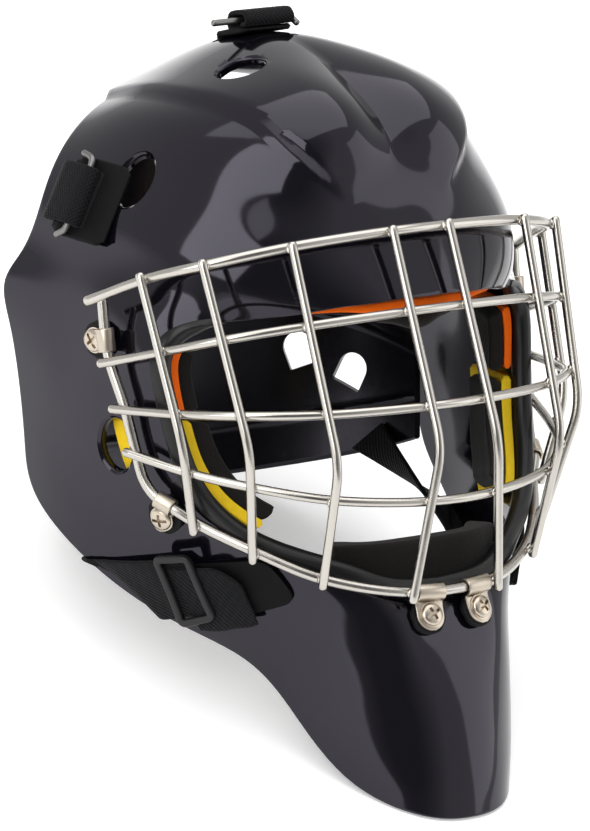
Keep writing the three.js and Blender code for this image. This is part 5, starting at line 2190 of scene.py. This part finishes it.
FINISHES: dict[str, Finish] = {
    "shell_gloss": GlossLacquer("black_lacquered_composite", "#0a090e", 0.07, 0.00012, 0.03),
    "plate_gloss": GlossLacquer("black_moulded_polycarbonate", "#101012", 0.2, 0.0002, 0.08),
    "cage_wire": Metal("polished_stainless_wire", "#b9b5ae", 0.16),
    "clip_metal": Metal("nickel_plated_sheet", "#b8aea0", 0.24),
    "screw_metal": Metal("nickel_plated_screw", "#bdb2a3", 0.2),
    "hook_wire": Metal("zinc_plated_wire", "#7b7a79", 0.34),
    "welt_rubber": Moulded("extruded_rubber_welt", "#080809", 0.34, 0.0009, 0.00006, 0.3, 0.35),
    "clip_pad_rubber": Moulded("cut_rubber_pad", "#0b0b0b", 0.75, 0.0012, 0.0005, 1.0, 0.2),
    "buckle_plastic": Moulded("moulded_acetal_buckle", "#0f0f11", 0.42, 0.0006, 0.00008, 0.35, 0.35),
    "anchor_band": Moulded("coated_anchor_band", "#040405", 0.6, 0.001, 0.00015, 0.5, 0.1),
    "comfort_foam": FoamCloth("brushed_cloth_on_foam", "#141211", 0.95),
    "liner_orange": FoamCloth("orange_closed_cell_foam", "#e2600c", 0.8, 0.0008, 0.0001, 0.0),
    "liner_yellow": FoamCloth("yellow_closed_cell_foam", "#cfae1e", 0.8, 0.0008, 0.0001, 0.0),
    "elastic_strap": Webbing("woven_black_elastic", "#0b0b0d", 0.85, Weave.RIBBED),
    "jaw_webbing": Webbing("twill_nylon_webbing", "#0c0c0e", 0.8, Weave.TWILL, 0.0015),
}


# ---- floor, light and camera ----------------------------------------------------------------
@dataclass(frozen=True)
class Softbox:
    """A soft area light: its place and its two widths in metres, and its power in watts."""

    name: str
    spot: tuple[float, float, float]
    size: tuple[float, float]
    watts: float

    AIM = Vector((0.0, 0.0, 0.11))  # the middle of the mask

    def build(self) -> None:
        """Makes the light, which looks at the middle of the mask."""
        data = bpy.data.lights.new(self.name, "AREA")
        data.shape = "RECTANGLE"
        data.size, data.size_y = self.size
        data.energy = self.watts
        light = bpy.data.objects.new(self.name, data)
        place = Vector(self.spot)
        turn = (self.AIM - place).to_track_quat("-Z", "Y")
        light.matrix_world = Matrix.Translation(place) @ turn.to_matrix().to_4x4()
        bpy.context.scene.collection.objects.link(light)


@dataclass
class Studio:
    """A pale floor, a white room, soft lights and the camera.

    The camera's numbers are in the wearing frame, in millimetres: left and low are how far it stands
    to the left of the origin and below it, and span is what it takes in from top to bottom at the
    mask. The room's wall darkens where its direction is near enough to the camera's, dark_from,
    and brightness is what it goes from and to.
    """

    azimuth: float = -38.0
    elevation: float = 10.2
    distance: float = 3000.0
    left: float = 50.0
    low: float = 75.8
    span: float = 332.4
    film: float = 36.0
    floor: PaleFloor = PaleFloor("pale_floor", "#f4f4f4", 0.9, 0.3)
    floor_reach: float = 6.0
    lights: tuple[Softbox, ...] = (
        Softbox("near_side", (-1.6, -0.3, 1.1), (1.4, 1.6), 22),
        Softbox("overhead", (0.0, 0.4, 2.1), (2.8, 2.4), 32),
        Softbox("front_right", (1.6, -1.2, 0.9), (1.2, 1.6), 7),
    )
    dark_from: tuple[float, float] = (0.6, 0.93)
    brightness: tuple[float, float] = (0.75, 0.15)

    def axes(self) -> tuple[Vector, Vector, Vector]:
        """The camera's axes.

        Returns:
            Its right, up and back directions in the wearing frame.
        """
        a, e = math.radians(self.azimuth), math.radians(self.elevation)
        back = Vector((math.sin(a) * math.cos(e), -math.cos(a) * math.cos(e), math.sin(e)))
        right = Vector((0, 0, 1)).cross(back).normalized()
        return right, back.cross(right), back

    def camera(self) -> None:
        """Sets the camera."""
        right, up, back = self.axes()
        spot = back * self.distance - right * self.left - up * self.low
        data = bpy.data.cameras.new("camera")
        data.lens = self.distance * self.film / self.span
        data.sensor_width = self.film
        data.clip_end = 50.0
        camera = bpy.data.objects.new("camera", data)
        rows = [[rest_direction(axis)[k] for axis in (right, up, back)] for k in range(3)]
        camera.matrix_world = Matrix.Translation(rest(spot)) @ Matrix(rows).to_4x4()
        bpy.context.scene.collection.objects.link(camera)
        bpy.context.scene.camera = camera

    def build(self) -> None:
        """Makes the whole studio."""
        self.camera()
        bm = bmesh.new()
        bmesh.ops.create_grid(bm, x_segments=1, y_segments=1, size=self.floor_reach)
        floor = finished("floor", bm)
        floor.data.materials.append(self.floor.build())
        floor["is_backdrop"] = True
        self.room()
        for light in self.lights:
            light.build()

    def room(self) -> None:
        """A white room whose wall behind the camera is dark, with colours shown as they are."""
        world = bpy.data.worlds.new("room")
        world.use_nodes = True
        shader = Shader(world.node_tree)
        towards = {0: shader.coordinates["Generated"]}
        back = tuple(rest_direction(self.axes()[2]))
        side = shader.add("ShaderNodeVectorMath", {"operation": "DOT_PRODUCT", 1: back}, towards)
        wall = shader.ranged(side.outputs["Value"], self.dark_from, self.brightness)
        light = shader.add("ShaderNodeBackground", {"Color": (1, 1, 1, 1)}, {"Strength": wall})
        shader.add("ShaderNodeOutputWorld", links={"Surface": light.outputs["Background"]})
        bpy.context.scene.world = world
        bpy.context.scene.view_settings.view_transform = "Standard"


# ---- the whole mask -------------------------------------------------------------------------
CLIP_STATIONS = 1201  # places on the frame wire that a clip can take
CLIPS = (Clip("chin", 0.053, 12.7), Clip("jaw", 0.592, 8.0), Clip("temple", 0.926, 9.5))


def main() -> None:
    """Builds the mask piece by piece, dresses it and sets the studio."""
    logging.basicConfig(level=logging.INFO, format="%(name)s %(message)s")
    Studio().build()
    finishes = {slot: finish.build() for slot, finish in FINISHES.items()}

    def put(piece: bpy.types.Object, slot: str, *nodes: str) -> None:
        """Places a piece with the finish of its slot."""
        placed(piece, finishes[slot], slot, *nodes)

    put(Shell().build(), "shell_gloss", "shell")
    put(Welt().build(), "welt_rubber", "opening_welt")
    cage = Cage()
    put(cage.build(), "cage_wire", "cage")
    plate = BackPlate()
    put(plate.build(), "plate_gloss", "back_plate")
    Padding().dress(finishes)

    line = cage.frame_line(CLIP_STATIONS)
    for clip in CLIPS:
        for side, sign in SIDES:
            seat = clip.seat(line, sign)
            sheet = clip.clip_body(seat, cage.frame_wire)
            bent = finished(f"{clip.name}_clip_bent_{side}", sheet, SHARP_SHEET)
            put(bent, "clip_metal", f"{clip.name}_clip_{side}")
            screw = finished(f"{clip.name}_screw_head_{side}", clip.screw_body(seat), SHARP_SCREW)
            for slot in clip.drive_cutters(seat):
                cut(screw, [slot], SHARP_SCREW)
            put(screw, "screw_metal", f"{clip.name}_screw_{side}")
            rubber = finished(f"{clip.name}_rubber_{side}", clip.pad_body(seat), SHARP_RUBBER)
            put(rubber, "clip_pad_rubber", f"{clip.name}_clip_pad_{side}")

    def head_strap(strap: HeadStrap, name: str, end: str, sign: int) -> None:
        """Places a head strap's elastic, hook and keeper; name and end make up their names."""
        elastic = finished(f"{name}_elastic{end}", strap.build(sign, plate), SHARP_WIRE)
        put(elastic, "elastic_strap", f"{name}_strap{end}")
        hook = finished(f"{name}_hook{end}", strap.pin_body(sign), SHARP_WIRE)
        put(hook, "hook_wire", f"{name}_strap_hook{end}")
        put(finished(f"{name}_keeper{end}", strap.base_body(sign), SHARP_RUBBER), "anchor_band")

    jaw = JawStrap()
    for side, sign in SIDES:
        head_strap(SIDE_STRAP, "side", f"_{side}", sign)
        webbing = joined([jaw.strap(sign, plate), jaw.tail(sign)])
        put(finished(f"jaw_webbing_{side}", webbing, SHARP_WIRE), "jaw_webbing", f"jaw_strap_{side}")
        band = finished(f"jaw_anchor_band_{side}", jaw.anchor(sign), SHARP_RUBBER)
        put(band, "anchor_band", f"jaw_anchor_{side}")
        buckle = finished(f"jaw_slide_buckle_{side}", jaw.buckle(sign), SHARP_RUBBER)
        put(buckle, "buckle_plastic", f"jaw_buckle_{side}")
    head_strap(CROWN_STRAP, "crown", "", 1)

    boxes = {"cad": CAD_BOX, "visual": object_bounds()}
    plain = {name: [[float(v) for v in corner] for corner in box] for name, box in boxes.items()}


if __name__ == "__main__":
    main()
